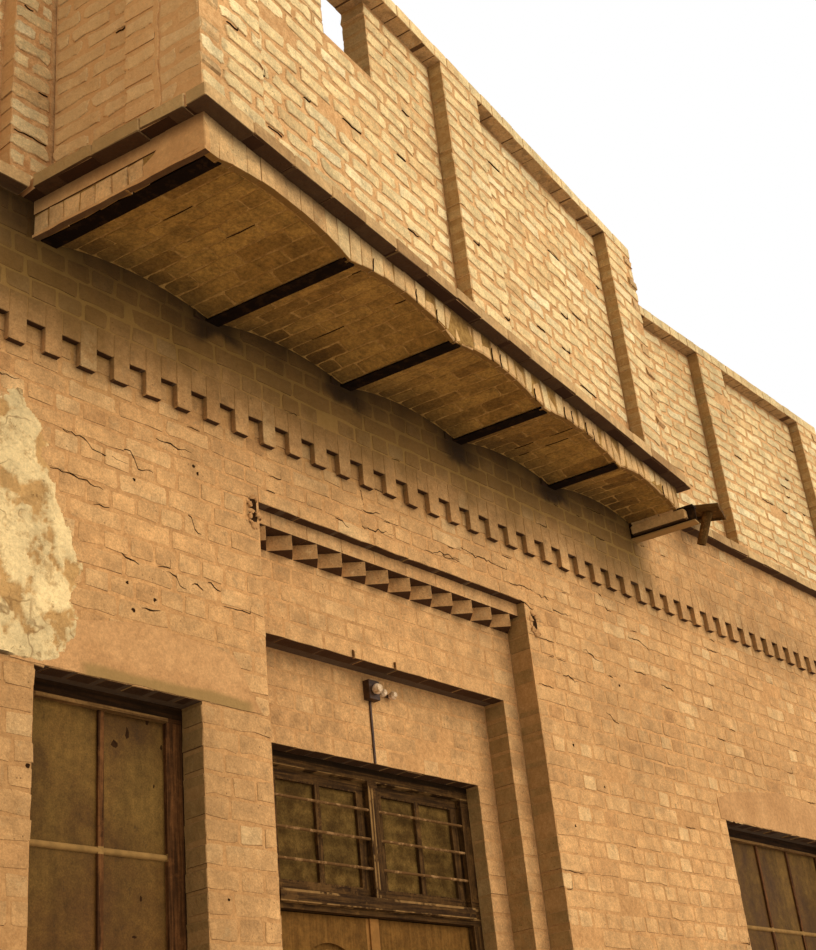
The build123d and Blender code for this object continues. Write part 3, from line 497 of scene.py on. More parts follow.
def sheet_material():
    """Painted sheets in the windows: olive brown, streaked and rubbed."""
    s = Shader("window sheet", 0.8, 0.08)
    cloud = s.noise(2.4, 6.0, 0.65)
    colour = s.mix(s.ramp(cloud, 0.35, 0.7), (0.085, 0.036, 0.006), (0.17, 0.088, 0.019))
    colour = s.mix(s.ramp(s.z, 2.75, 2.2, 0.0, 0.5), colour, (0.1, 0.04, 0.008))
    colour = s.shade(colour, s.noise(8.0, 5.0, 0.6, (1.0, 1.0, 0.15)), 0.7, 1.2)
    colour = s.mottle(colour, (26.0, 7.0, 0.75, 0.75, 1.25), (140.0, 3.0, 0.8, 0.75, 1.25))
    scratch = s.ramp(s.noise(30.0, 6.0, 0.75, (1.0, 1.0, 0.5)), 0.62, 0.7)
    colour = s.mix(s.times(scratch, 0.55), colour, (0.035, 0.02, 0.008))
    s.join(s.ramp(cloud, 0.3, 0.7, 0.65, 0.9), s.surface.inputs["Roughness"])
    s.bump((s.noise(1.3, 2.0), 0.5, 0.02), (scratch, -0.2, 0.001))
    return s.done(colour)


def glass_material():
    """Panes so dusty that they are nearly opaque."""
    s = Shader("dusty glass", 0.85, 0.03)
    dust = s.noise(11.0, 6.0, 0.7)
    colour = s.mix(s.ramp(dust, 0.35, 0.7), (0.07, 0.034, 0.007), (0.17, 0.092, 0.022))
    colour = s.shade(colour, s.noise(5.0, 3.0, 0.5, (0.4, 1.0, 2.6)), 0.65, 1.15)
    colour = s.mottle(colour, (120.0, 3.0, 0.8, 0.7, 1.3))
    s.join(s.ramp(dust, 0.35, 0.7, 0.75, 0.95), s.surface.inputs["Roughness"])
    s.bump((dust, 0.2, 0.002))
    return s.done(colour)


def tile_material(name, dark, light):
    """Worn tiles or stone, each with its own tone."""
    s = Shader(name, 0.9)
    value = s.tone_and(s.noise(5.0, 5.0, 0.6), 0.6, 0.6)
    colour = s.mix(s.ramp(value, 0.3, 0.85), dark, light)
    colour = s.mottle(colour, (60.0, 4.0, 0.7, 0.8, 1.12), (13.0, 6.0, 0.75, 0.75, 1.15))
    s.bump((s.noise(45.0), 0.7, 0.006), (s.noise(12.0, 5.0, 0.7), 0.7, 0.02))
    # Painted shade: faces turned west go towards a darker grey-brown
    colour = s.mix(s.turned(0, 0.5, 0.95, 0.6), colour, (0.34, 0.21, 0.07))
    return s.done(weather(s, colour, soot_and_shade=None, west_shade=0.0, under=0.84))


def crack_shade_material():
    """Painted shade: a near-black colour for the shade inside a crack, hole, gap or tear."""
    s = Shader("crack", 1.0, 0.0)
    return s.done(s.mix(s.noise(50.0), (0.012, 0.005, 0.002), (0.05, 0.022, 0.008)))


LOWER_TONES = ((0.54, 0.26, 0.088), (0.7, 0.37, 0.135), (0.84, 0.52, 0.22))
LOWER_BRICK = brick_material("lower brick", LOWER_TONES, (0.65, 0.335, 0.12), 0.5)
TEETH_BRICK = brick_material("band brick", LOWER_TONES, (0.62, 0.315, 0.112), 0.5, west_shade=0.3, hairline=0.3)
PARAPET_TONES = ((0.72, 0.44, 0.175), (0.88, 0.62, 0.28), (0.95, 0.73, 0.38))
PARAPET_BRICK = brick_material("parapet brick", PARAPET_TONES, (0.76, 0.44, 0.175), 0.6, soot_and_shade=None,
                               streaks=0.35, west_shade=0.55, under=0.3, hairline=0.5)
EDGE_TONES = ((0.56, 0.29, 0.1), (0.76, 0.44, 0.17), (0.88, 0.62, 0.28))
EDGE_BRICK = brick_material("edge brick", EDGE_TONES, (0.72, 0.4, 0.15), 0.6, 0.24, soot_and_shade=None, west_shade=0.2,
                            under=0.95, hairline=0.4, below=(0.2, 0.095, 0.018))
LOWER_MORTAR = mortar_material("lower mortar", (0.5, 0.24, 0.08), (0.68, 0.35, 0.125))
PARAPET_MORTAR = mortar_material("parapet mortar", (0.56, 0.275, 0.095), (0.76, 0.43, 0.17), soot_and_shade=None,
                                 west_shade=0.55)
SOFFIT_MORTAR = mortar_material("soffit mortar", (0.25, 0.12, 0.025), (0.46, 0.25, 0.065), soot_and_shade=None,
                                west_shade=0.0, under=0.0)
PLASTER = plaster_material("plaster", (0.5, 0.34, 0.18), (0.68, 0.5, 0.3))
PALE_PLASTER = peeling_material()
LINTEL_PLASTER = plaster_material("lintel plaster", (0.48, 0.235, 0.082), (0.61, 0.315, 0.116),
                                  smudge=(-1.95, -1.15, (0.26, 0.155, 0.045)))
SLAB_PLASTER = plaster_material("slab plaster", (0.52, 0.26, 0.088), (0.74, 0.42, 0.155))
CRACK_SHADE = crack_shade_material()
SOFFIT_BRICK = soffit_material()
LEDGE_TILE = tile_material("ledge tile", (0.36, 0.19, 0.066), (0.66, 0.4, 0.16))
FLOOR_TILE = tile_material("floor tile", (0.4, 0.25, 0.12), (0.6, 0.42, 0.23))
STEP_STONE = tile_material("step stone", (0.33, 0.23, 0.13), (0.5, 0.38, 0.23))
BEAM_STEEL = steel_material("beam steel", (0.008, 0.004, 0.002), (0.024, 0.011, 0.004))
END_STEEL = steel_material("end beam steel", (0.02, 0.01, 0.004), (0.05, 0.022, 0.007),
                           foot=(5.014, (0.3, 0.16, 0.05)))
SPOUT_STEEL = steel_material("spout steel", (0.09, 0.042, 0.01), (0.22, 0.105, 0.028))
BAR_STEEL = steel_material("bar steel", (0.13, 0.06, 0.018), (0.36, 0.19, 0.07))

# Painted highlights on edges of the transom, and the strip between the door leaves, as boxes of x and z
TRANSOM_HIGHLIGHTS = ((-0.74, 0.74, 2.645, 2.656), (-0.74, 0.74, 2.6, 2.607), (-0.74, 0.74, 3.204, 3.211),
              (-0.03, -0.02, 2.66, 3.2), (-0.008, 0.0, 2.66, 3.2))
MEETING_STRIP = ((-0.085, -0.004, 0.3, 2.6),)
# Frame wood: painted highlights in the pale boxes, broken by noise, and painted shade, near black, above 3.245
# under the head
FRAME_WOOD = wood_material("frame wood", (0.026, 0.011, 0.003), (0.105, 0.048, 0.012), 0.3,
                           rails=((2.57, 2.7), (3.16, 3.28)), pale=TRANSOM_HIGHLIGHTS,
                           pale_colour=(0.27, 0.14, 0.042), shade_over=3.245, broken=True)
DOOR_WOOD = wood_material("door wood", (0.125, 0.052, 0.009), (0.175, 0.078, 0.015), 0.15, pale=MEETING_STRIP,
                          pale_colour=(0.3, 0.13, 0.03))

# The front windows' crossbars: levels and half height, and the spans of the sheets behind them
CROSSBARS = (1.5825, 2.125, 2.6675)
CROSSBAR_HALF = 0.0135
PANE_SPANS = ((-4.38, -3.0), (-2.108, -1.48), (3.0, 4.38))
# Window wood: painted shade, near black, above 3.222 under the window heads
WINDOW_WOOD = wood_material("window wood", (0.04, 0.015, 0.004), (0.16, 0.06, 0.016), 0.15,
                            rails=((3.2, 3.28), (0.9, 1.05)), shade_over=3.222,
                            pale=[(low, high, z - CROSSBAR_HALF, z + CROSSBAR_HALF)
                                  for low, high in PANE_SPANS for z in CROSSBARS])
BEAD_WOOD = wood_material("bead wood", (0.09, 0.04, 0.011), (0.24, 0.12, 0.035), 0.2, rails=((0.0, 4.0),))
WINDOW_SHEET = sheet_material()
DUSTY_GLASS = glass_material()
LAMP = lamp_material()


# Meshes
def add_object(name, data):
    """Puts a mesh, lamp or camera into the scene."""
    added = bpy.data.objects.new(name, data)
    bpy.context.scene.collection.objects.link(added)
    return added


def build_object(name, points, faces, materials, body="house", values=None, indices=None):
    """Makes one piece, with its materials and point values, and lets it ride on a body."""
    mesh = bpy.data.meshes.new(name)
    mesh.from_pydata(np.clip(points, BOX_LOW, BOX_HIGH).tolist(), [], faces)
    for material in materials:
        mesh.materials.append(material)
    if indices is not None:
        mesh.polygons.foreach_set("material_index", indices)
    for label, numbers in (values or {}).items():
        attribute = mesh.attributes.new(label, "FLOAT", "POINT")
        attribute.data.foreach_set("value", np.asarray(numbers, np.float32))
    mesh.validate()
    mesh.update()
    piece = add_object(name, mesh)
    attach(piece, body)
    return piece


def on_plane(shape, origin, along, up):
    """A flat shape's points, given in (along, up), placed from origin."""
    return origin + np.outer(shape[:, 0], along) + np.outer(shape[:, 1], up)


def ragged_ring(count, low, high, turn=None):
    """Points round the origin, each at a random distance between low and high."""
    turn = rng.uniform(0, math.pi) if turn is None else turn
    angles = turn + np.linspace(0, 2 * math.pi, count + 1)[:-1]
    return np.column_stack((np.cos(angles), np.sin(angles))) * rng.uniform(low, high, (count, 1))


class Courses:
    """Collects closed bricks and tiles that become one piece."""

    made = []

    def __init__(self, name, material, slot):
        Courses.made.append(self)
        self.name, self.material, self.slot = name, material, slot
        self.points, self.faces, self.tones, self.edges = [], [], [], []
        self.count = 0

    def rings(self, rings, tone=0.5, edges=None):
        """Closes rings of points, front ring first, into one solid."""
        size = len(rings[0])
        start = self.count
        self.points.extend(rings)
        self.faces.append(list(range(start, start + size)))
        for level in range(len(rings) - 1):
            a = start + level * size
            b = a + size
            for i in range(size):
                j = (i + 1) % size
                self.faces.append([a + j, a + i, b + i, b + j])
        last = start + (len(rings) - 1) * size
        self.faces.append(list(range(last + size - 1, last - 1, -1)))
        self.count += size * len(rings)
        self.tones.extend([tone] * (size * len(rings)))
        for edge in edges or [0.0] * len(rings):
            self.edges.extend([edge] * size)

    def prism(self, outline, along, up, origin, depth, bevel, front=0.0, smear=0.0, tilt=0.0):
        """A brick on an outline in (along, up), its face at front behind the plane."""
        inward = -np.cross(along, up)
        outline = np.asarray(outline, float)
        offset = outline - outline.mean(0)
        reach = np.maximum(np.linalg.norm(offset, axis=1, keepdims=True), 1e-6)
        lean = rng.normal(0, tilt, 2) if tilt else np.zeros(2)
        steps = [(bevel * 1.3, front, 0.45), (0.0, front + bevel, 1.0), (0.0, depth, 1.0)]
        if smear:
            steps = [(bevel * 1.3 + smear, front - 0.15 * bevel, 0.0)] + steps
        rings = []
        for k, (shrink, level, _) in enumerate(steps):
            shape = offset * (1.0 - np.minimum(0.6, shrink / reach))
            push = level + (0 if k == len(steps) - 1 else shape @ lean)
            push = np.broadcast_to(push, len(shape))
            rings.append(on_plane(shape + outline.mean(0), origin, along, up) + np.outer(push, inward))
        self.rings(rings, brick_tone(), [step[2] for step in steps])

    def brick(self, origin, along, up, length, height, depth, bevel=0.004, corner=0.0, front=0.0,
              wobble=0.0012, round_ends=False, smear=0.0, tilt=0.0):
        """A brick with its lower left front corner at origin, its corners cut by up to corner."""
        corner = min(corner, 0.3 * length, 0.45 * height)
        if corner > 0:
            outline = []
            for k, (right, top) in enumerate(((0, 0), (1, 0), (1, 1), (0, 1))):
                c = corner * rng.uniform(0.35, 1.0)
                x, z = right * length, top * height
                dx, dz = (1 - 2 * right) * c, (1 - 2 * top) * c * 0.8
                bend = [(x, z + dz), (x + dx, z)]
                if round_ends:
                    bend.insert(1, (x + 0.3 * dx, z + 0.3 * dz))
                outline += bend if right == top else bend[::-1]
                if smear and k % 2 == 0 and length > 0.14:
                    shares = (0.36, 0.66) if k == 0 else (0.64, 0.34)
                    outline += [(length * share, height * (k == 2)) for share in shares]
        else:
            outline = [(0, 0), (length, 0), (length, height), (0, height)]
        outline = np.array(outline) + rng.normal(0, wobble, (len(outline), 2))
        self.prism(outline, along, up, origin, depth, bevel, front, smear, tilt)

    def crack(self, path, along, up, origin, width):
        """A thin dark crack along a path in (along, up), widest in its middle."""
        path = np.asarray(path, float)
        out = np.cross(along, up)
        rings = []
        for k, (a, z) in enumerate(path):
            swell = max(0.12, math.sin(math.pi * (k + 0.3) / (len(path) - 0.4)))
            half = up * (0.5 * width * swell * rng.uniform(0.6, 1.1))
            foot = origin + along * a + up * z
            back, front = foot - out * CRACK_DEPTH, foot + out * CRACK_OUT
            rings.append(np.array([back + half, back - half, front - half, front + half]))
        self.rings(rings)

    def patch(self, outline, along, up, origin, front, depth, ragged, round_edge=0.004):
        """A thin layer with a ragged outline, its face standing out by front."""
        fine = []
        outline = np.array(outline, float)
        for here, there in zip(outline, np.roll(outline, -1, 0)):
            pieces = max(1, round(np.linalg.norm(there - here) / 0.03))
            fine += [here + (there - here) * k / pieces for k in range(pieces)]
        fine = np.array(fine)
        run = np.roll(fine, -1, 0) - np.roll(fine, 1, 0)
        outward = np.column_stack((run[:, 1], -run[:, 0])) / np.linalg.norm(run, axis=1)[:, None]
        swing = np.convolve(np.tile(rng.normal(0, ragged, len(fine)), 3), (0.5, 1.0, 0.5), "same")
        edge = fine + outward * swing[len(fine):2 * len(fine), None]
        out = np.cross(along, up)
        rings = []
        for inset, level in ((round_edge, front), (0.0, front - round_edge * 0.7), (0.0, -depth)):
            shape = edge - outward * inset
            rings.append(on_plane(shape, origin, along, up) + out * level)
        self.rings(rings)

    def finish(self):
        """Turns the collected solids into one piece."""
        return build_object(self.name, np.concatenate(self.points), self.faces, [self.material],
                            values={"tone": self.tones, "edge": self.edges})


def brick_tone():
    """Most bricks are alike; a few are much paler or darker."""
    odd = rng.random()
    if odd < 0.07:
        return rng.uniform(0.85, 1.0)
    return rng.uniform(0.0, 0.2) if odd > 0.95 else rng.beta(5.0, 5.0)


def mesh_arrays(node):
    """Corner points and triangles of a CAD node."""
    mesh = nodes[node].data
    mesh.calc_loop_triangles()
    points = np.empty(len(mesh.vertices) * 3)
    mesh.vertices.foreach_get("co", points)
    corners = np.empty(len(mesh.loop_triangles) * 3, np.int64)
    mesh.loop_triangles.foreach_get("vertices", corners)
    return points.reshape(-1, 3), corners.reshape(-1, 3)


def normals_of(shape):
    """The normals of triangles, not scaled to 1, and their lengths."""
    normals = np.cross(shape[:, 1] - shape[:, 0], shape[:, 2] - shape[:, 0])
    return normals, np.linalg.norm(normals, axis=1)


class Face:
    """All upright CAD faces that lie in one plane."""

    def __init__(self, normal, offset):
        self.normal, self.offset = normal, offset
        self.along = np.cross(UP, normal)
        self.triangles = []
        self.opposite = None

    def slice(self, level):
        """The spans along the plane that are solid at a level."""
        z = self.triangles[:, :, 1] - level
        u = self.triangles[:, :, 0]
        hits = np.full((len(z), 3), np.nan)
        for k, (i, j) in enumerate(((0, 1), (1, 2), (2, 0))):
            cross = (z[:, i] > 0) != (z[:, j] > 0)
            share = z[cross, i] / (z[cross, i] - z[cross, j])
            hits[cross, k] = u[cross, i] + share * (u[cross, j] - u[cross, i])
        hits = hits[~np.isnan(hits).all(1)]
        spans = sorted((float(np.nanmin(row)), float(np.nanmax(row))) for row in hits)
        merged = []
        for low, high in spans:
            if merged and low <= merged[-1][1] + 0.001:
                merged[-1][1] = max(merged[-1][1], high)
            else:
                merged.append([low, high])
        return [span for span in merged if span[1] - span[0] > 0.004]

    def open_spans(self, level):
        """The spans that no other solid touches."""
        spans = self.slice(level)
        if self.opposite is not None and spans:
            for low, high in self.opposite.slice(level):
                low, high = -high, -low
                left = []
                for a, b in spans:
                    if high <= a + 0.002 or low >= b - 0.002:
                        left.append([a, b])
                        continue
                    if low > a + 0.004:
                        left.append([a, low])
                    if high < b - 0.004:
                        left.append([high, b])
                spans = left
        return spans

    def point(self, u):
        """The point at u along the plane, at level 0."""
        return self.normal * self.offset + self.along * u


def collect_faces():
    """Sorts the upright triangles of the masonry into planes."""
    faces = []
    for node in MASONRY:
        points, corners = mesh_arrays(node)
        shape = points[corners]
        for triangle, normal, area in zip(shape, *normals_of(shape)):
            if area < 1e-8:
                continue
            normal = normal / area
            if abs(normal[2]) > 0.01:
                continue
            offset = float(normal @ triangle[0])
            for face in faces:
                if face.normal @ normal > 0.99998 and abs(face.offset - offset) < 0.0006:
                    break
            else:
                face = Face(normal, offset)
                faces.append(face)
            face.triangles.append(np.column_stack((triangle @ face.along, triangle[:, 2])))
    for face in faces:
        face.triangles = np.array(face.triangles)
        for other in faces:
            if face.normal @ other.normal < -0.99998 and abs(face.offset + other.offset) < 0.0006:
                face.opposite = other
    return faces


FACES = collect_faces()


def is_plain(normal, point):
    """Faces that carry no separate bricks: party walls, and the room's plastered walls."""
    x, y, z = point
    if z > LEDGE_LOW:
        return False
    if abs(normal[0]) > 0.99 and abs(abs(x) - HOUSE_HALF) < 0.002:
        return True
    inside = abs(x) < ROOM_HALF + 0.002 and WALL - 0.002 < y < REAR_INNER + 0.002
    if not inside:
        return False
    return normal[1] > 0.9 and y < 1.0 or normal[1] < -0.9 and y > 4.0 or abs(normal[0]) > 0.9


class Span:
    """One stretch of brickwork at one course."""

    def __init__(self, face, low, high, level):
        self.face, self.low, self.high = face, low, high
        self.ends = (face.point(low), face.point(high))
        self.middle = face.point((low + high) / 2) + UP * level
        self.plain = is_plain(face.normal, self.middle)
        self.length = high - low
        self.faces_front = abs(face.normal[1]) >= abs(face.normal[0])


def spans_at(level):
    """Every open stretch of masonry at a level."""
    return [Span(face, low, high, level) for face in FACES for low, high in face.open_spans(level)]


def corner_at(spans, span, end):
    """What the span meets at one end: ("convex" or "concave" or "open", other span)."""
    here = span.ends[end]
    for other in spans:
        if other is span or other.face is span.face:
            continue
        for k in (0, 1):
            if np.abs(other.ends[k] - here).max() < 0.004:
                into = other.ends[1 - k] - other.ends[k]
                side = into @ span.face.normal / max(other.length, 1e-6)
                if side < -0.5:
                    return "convex", other
                if side > 0.5:
                    return "concave", other
    return "open", None


def leads(span, other, course, zone):
    """Whether span's brick turns the corner at this course."""
    if other.length <= SHORT < span.length:
        return True
    if span.length <= SHORT < other.length:
        return False
    return span.faces_front == (zone != "parapet" or course % 2 == 0)


def in_recess(point):
    """Whether a point lies on the sheltered faces of the door recess."""
    return 0.04 < point[1] < 0.45 and abs(point[0]) < RECESS_HALF + 0.01


def joints_between(low, high, pitch, phase, spread, least=0.07):
    """Places of the joints between low and high, none closer than least to an end."""
    k = math.ceil((low + least - phase) / pitch)
    cuts = []
    while phase + k * pitch < high - least:
        cuts.append(phase + k * pitch + rng.normal(0, spread))
        k += 1
    return cuts


def between(edges, gap):
    """Start and end of each brick between the edges, with a gap beside each inner edge."""
    last = len(edges) - 2
    for i in range(last + 1):
        yield i, edges[i] + (gap if i else 0.0), edges[i + 1] - (gap if i < last else 0.0)


def open_joint(target, span, origin, length, joint):
    """A gap where mortar has fallen out under a brick, and sometimes beside it, drawn as a dark strip of
    painted shade.
    """
    start, stop = sorted(rng.uniform(0.0, length, 2))
    if stop - start < 0.04:
        return
    steps = max(3, round((stop - start) / 0.025))
    path = [(start + (stop - start) * k / steps, -joint * 0.4 + rng.normal(0, 0.0025))
            for k in range(steps + 1)]
    if rng.random() < 0.3:
        path += [(path[-1][0] + rng.normal(0, 0.003), path[-1][1] + rise) for rise in (0.02, 0.04)]
    target.crack(path, span.face.along, UP, origin, rng.uniform(0.002, 0.005))


def lay_span(target, spans, span, z_low, z_high, course, zone):
    """Lays one course of bricks along one span."""
    header = zone == "lower" and course % 2 == 0
    lead = LEAD_HEADER if header else LEAD_STRETCHER
    joint = PARAPET_JOINT if zone == "parapet" else JOINT
    end_depth = [BRICK_DEPTH, BRICK_DEPTH]
    shifts = []
    for end in (0, 1):
        kind, other = corner_at(spans, span, end)
        shift = joint / 2
        if kind == "convex":
            if other.plain:
                shift = END_GAP
            elif leads(span, other, course, zone):
                shift = 0.0
                short = other.length <= SHORT
                end_depth[end] = other.length - 0.004 if short else min(lead, other.length - 0.05)
            elif span.length <= SHORT:
                return
            else:
                shift = min(lead, span.length - 0.05) + joint
        shifts.append(shift)
    low, high = span.low + shifts[0], span.high - shifts[1]
    if high - low < 0.03:
        return
    pitch = HEADER if header else STRETCHER
    if zone == "parapet":
        phase = (0.5 * (course % 2) + 0.13 * math.sin(course * 2.7)) * pitch
    else:
        phase = 0.25 * STRETCHER if header else 0.0
        phase += 0.02 * math.sin(course * 1.9)
    cracks, open_share, spread = WALL_CRACKS, 0.14, 0.003
    if zone == "parapet":
        cracks, open_share, spread = PARAPET_CRACKS, 0.12, 0.006
    edges = [low] + joints_between(low, high, pitch, phase, spread) + [high]
    street = span.face.normal[1] < 0.5 and span.middle[1] < 0.45
    sheltered = in_recess(span.middle)
    bevel, corner, most_sink, wobble, tilt = WORN["sheltered" if sheltered and zone == "lower" else zone]
    for i, a, b in between(edges, joint / 2):
        if b - a < 0.02:
            continue
        this_depth = BRICK_DEPTH
        if i == 0:
            this_depth = end_depth[0]
        if i == len(edges) - 2:
            this_depth = max(end_depth[1], this_depth if len(edges) > 2 else end_depth[0])
        front = rng.uniform(0.0, most_sink)
        drop = rng.normal(0, 0.0015) if zone == "parapet" else 0.0
        height = (z_high - z_low) - joint + rng.normal(0, 0.0015)
        if street and rng.random() < 0.02:
            front += rng.uniform(0.003, 0.01)
        origin = span.face.point(a) + UP * (z_low - UNDER + drop)
        if street:
            target.brick(origin, span.face.along, UP, b - a, height, this_depth, bevel, corner, front, wobble,
                         round_ends=zone == "parapet", smear=0.012, tilt=tilt)
            if not sheltered and rng.random() < open_share and b - a > 0.08:
                open_joint(cracks, span, origin, b - a, joint)
        else:
            target.brick(origin, span.face.along, UP, b - a, height, this_depth, bevel, front=front)


# The pieces, in the order in which they are finished
LOWER_LEFT = Courses("bricks_lower_left", LOWER_BRICK, "wall_brick")
LOWER_MIDDLE = Courses("bricks_lower_middle", LOWER_BRICK, "wall_brick")
LOWER_RIGHT = Courses("bricks_lower_right", LOWER_BRICK, "wall_brick")
LOWER_REAR = Courses("bricks_lower_rear", LOWER_BRICK, "wall_brick")
PARAPET_STREET = Courses("bricks_parapet_street", PARAPET_BRICK, "parapet_brick")
PARAPET_TERRACE = Courses("bricks_parapet_terrace", PARAPET_BRICK, "parapet_brick")
COPING = Courses("bricks_coping", PARAPET_BRICK, "parapet_brick")
TEETH = Courses("bricks_band_teeth", TEETH_BRICK, "wall_brick")
FRIEZE = Courses("bricks_frieze", TEETH_BRICK, "wall_brick")
SAWTOOTH = Courses("bricks_sawtooth", TEETH_BRICK, "wall_brick")
SLAB_EDGE = Courses("bricks_slab_edge", EDGE_BRICK, "soffit_brick")
SLAB_RENDER = Courses("render_slab_edge", SLAB_PLASTER, "soffit_brick")
VAULTS = Courses("bricks_vaults", SOFFIT_BRICK, "soffit_brick")
VAULTS_CRACKS = Courses("cracks_vaults", CRACK_SHADE, "soffit_brick")
WALL_CRACKS = Courses("cracks_wall", CRACK_SHADE, "wall_brick")
PARAPET_CRACKS = Courses("cracks_parapet", CRACK_SHADE, "parapet_brick")
FOOT = Courses("mortar_parapet_foot", PARAPET_MORTAR, "parapet_brick")
PEGS = Courses("pegs_recess", BAR_STEEL, "bar_steel")
RUBBLE = Courses("rubble_frieze", LINTEL_PLASTER, "wall_brick")
TEARS = Courses("tears_window_sheet", CRACK_SHADE, "window_sheet")
BEADS = Courses("window_beads", BEAD_WOOD, "window_wood")
LINTEL = Courses("plaster_lintels", LINTEL_PLASTER, "wall_brick")
LEDGE = Courses("tiles_ledge", LEDGE_TILE, "ledge_tile")
FLOOR = Courses("tiles_terrace", FLOOR_TILE, "paving")


def in_balcony_slab(point):
    """Whether a point lies on the balcony's slab rather than on the house wall."""
    return point[1] < BAND_FACE - 0.005


# Brickwork of the walls and parapets, course by course
course = 0
for zone, bottom, top, count in ZONES:
    step = (top - bottom) / count
    for k in range(count):
        z_low = bottom + step * k
        z_high = z_low + step
        level = (z_low + z_high) / 2 + 0.0007
        spans = spans_at(level)
        for span in spans:
            if span.plain or zone == "lower" and in_balcony_slab(span.middle):
                continue
            if zone == "parapet":
                street = span.middle[1] < 0.1 and span.face.normal[1] < 0.5
                target = PARAPET_STREET if street else PARAPET_TERRACE
            elif span.middle[1] > 2.0:
                target = LOWER_REAR
            elif span.middle[0] > 1.1:
                target = LOWER_RIGHT
            else:
                target = LOWER_LEFT if span.middle[0] < -1.1 else LOWER_MIDDLE
            lay_span(target, spans, span, z_low, z_high, course, zone)
        course += 1

# The band's lowest course: upright bricks, every second one hanging down as a tooth
for k in range(-TOOTH_COUNT, TOOTH_COUNT + 1):
    centre = k * TOOTH_PITCH / 2
    hangs = (k + TOOTH_COUNT) % 2 == 1
    width = TOOTH_WIDTH if hangs else TOOTH_PITCH - TOOTH_WIDTH
    left = max(centre - width / 2 + 0.001, -HOUSE_HALF + 0.002)
    right = min(centre + width / 2 - 0.001, HOUSE_HALF - 0.002)
    low = TEETH_LOW + rng.uniform(0.0, 0.009) if hangs else BAND_LOW - UNDER
    TEETH.brick(np.array((left, BAND_FACE, low)), EAST, UP, right - left, TEETH_TOP - 0.008 - low,
                TOOTH_DEPTH if hangs else BAND_DEPTH, bevel=0.0025, corner=0.009,
                front=rng.uniform(0.0, 0.001), wobble=0.0014)

# Frieze: a flat course over bricks with one corner out
pitch = 2 * RECESS_HALF / FRIEZE_BRICKS
for cut in range(math.ceil(FRIEZE_BRICKS)):
    left = max(-RECESS_HALF + pitch * (cut - 0.5) + 0.0006, -RECESS_HALF + 0.001)
    right = min(-RECESS_HALF + pitch * (cut + 0.5) - 0.0006, RECESS_HALF - 0.001)
    FRIEZE.brick(np.array((left, FRIEZE_FACE, FRIEZE_LOW)), EAST, UP, right - left,
                 FRIEZE_TOP - FRIEZE_LOW - 0.002, RECESS_DEPTH - FRIEZE_FACE, bevel=0.002,
                 front=rng.uniform(0, 0.0008), wobble=0.0)
saw_pitch = 2 * RECESS_HALF / SAW_COUNT
saw_side = saw_pitch / math.sqrt(2) - 0.001
SAW_DIR = np.array((math.sqrt(0.5), math.sqrt(0.5), 0.0))
for k in range(SAW_COUNT):
    peak = np.array((-RECESS_HALF + saw_pitch * (k + 0.5), RECESS_DEPTH - saw_pitch / 2 + 0.001, SAW_LOW))
    SAWTOOTH.brick(peak, SAW_DIR, UP, saw_side, FRIEZE_LOW - SAW_LOW - 0.001, saw_side, bevel=0.001,
                   wobble=0.0004)

# Cracks in the face of the lower wall, dark strips of painted shade: start, length and fall of each
CRACKS = (
    (-2.09, 4.27, 0.33, 0.05), (-2.15, 4.08, 0.26, 0.01), (-1.83, 4.29, 0.2, 0.07), (-1.44, 4.09, 0.07, 0.08),
    (-1.8, 3.8, 0.09, 0.01), (-1.43, 3.77, 0.06, 0.01), (-1.34, 3.8, 0.07, 0.03), (-1.57, 3.79, 0.11, 0.05),
    (-1.7, 3.6, 0.1, 0.0), (-1.61, 4.4, 0.2, 0.01), (0.97, 4.27, 0.14, 0.02), (1.16, 4.35, 0.33, 0.06),
    (1.84, 4.52, 0.11, 0.09), (0.3, 4.36, 0.16, -0.01), (0.45, 4.45, 0.36, 0.01), (0.87, 4.36, 0.25, -0.01),
    (-0.3, 4.56, 0.02, 0.07), (-0.5, 4.35, 0.09, 0.03), (-0.31, 4.45, 0.15, -0.01), (-0.31, 4.35, 0.24, -0.02),
    (0.17, 4.36, 0.29, -0.02), (1.55, 4.1, 0.2, 0.03), (1.3, 3.9, 0.15, 0.02), (1.7, 3.75, 0.12, 0.04),
    (2.1, 4.3, 0.25, 0.03), (2.4, 4.05, 0.16, 0.01), (-2.6, 4.45, 0.3, 0.03),
)
for x, z, length, fall in CRACKS:
    steps = max(4, round(length / 0.02))
    swing = rng.normal(0, 0.0045, steps + 1)
    drop = steps * rng.uniform(0.3, 0.7)
    path = [(length * k / steps, -fall / (1 + math.exp(2.5 * (drop - k))) + swing[k])
            for k in range(steps + 1)]
    WALL_CRACKS.crack(path, EAST, UP, np.array((x, 0.0, z)), rng.uniform(0.004, 0.0075))

# Holes left by pegs and fixings, dark patches of painted shade
HOLES = ((-2.21, 2.89), (-1.73, 4.16), (-1.77, 3.69), (-1.74, 3.58), (-1.63, 3.65), (-1.4, 4.33), (-1.38, 4.3),
         (-1.87, 4.22), (1.3, 3.5), (1.55, 3.3), (1.2, 3.05), (1.9, 3.95), (-1.29, 2.5))
for x, z in HOLES:
    ring = ragged_ring(8, 0.005, 0.011)
    WALL_CRACKS.prism(ring, EAST, UP, np.array((x, 0.0, z)), depth=0.008, bevel=0.001, front=-CRACK_OUT)

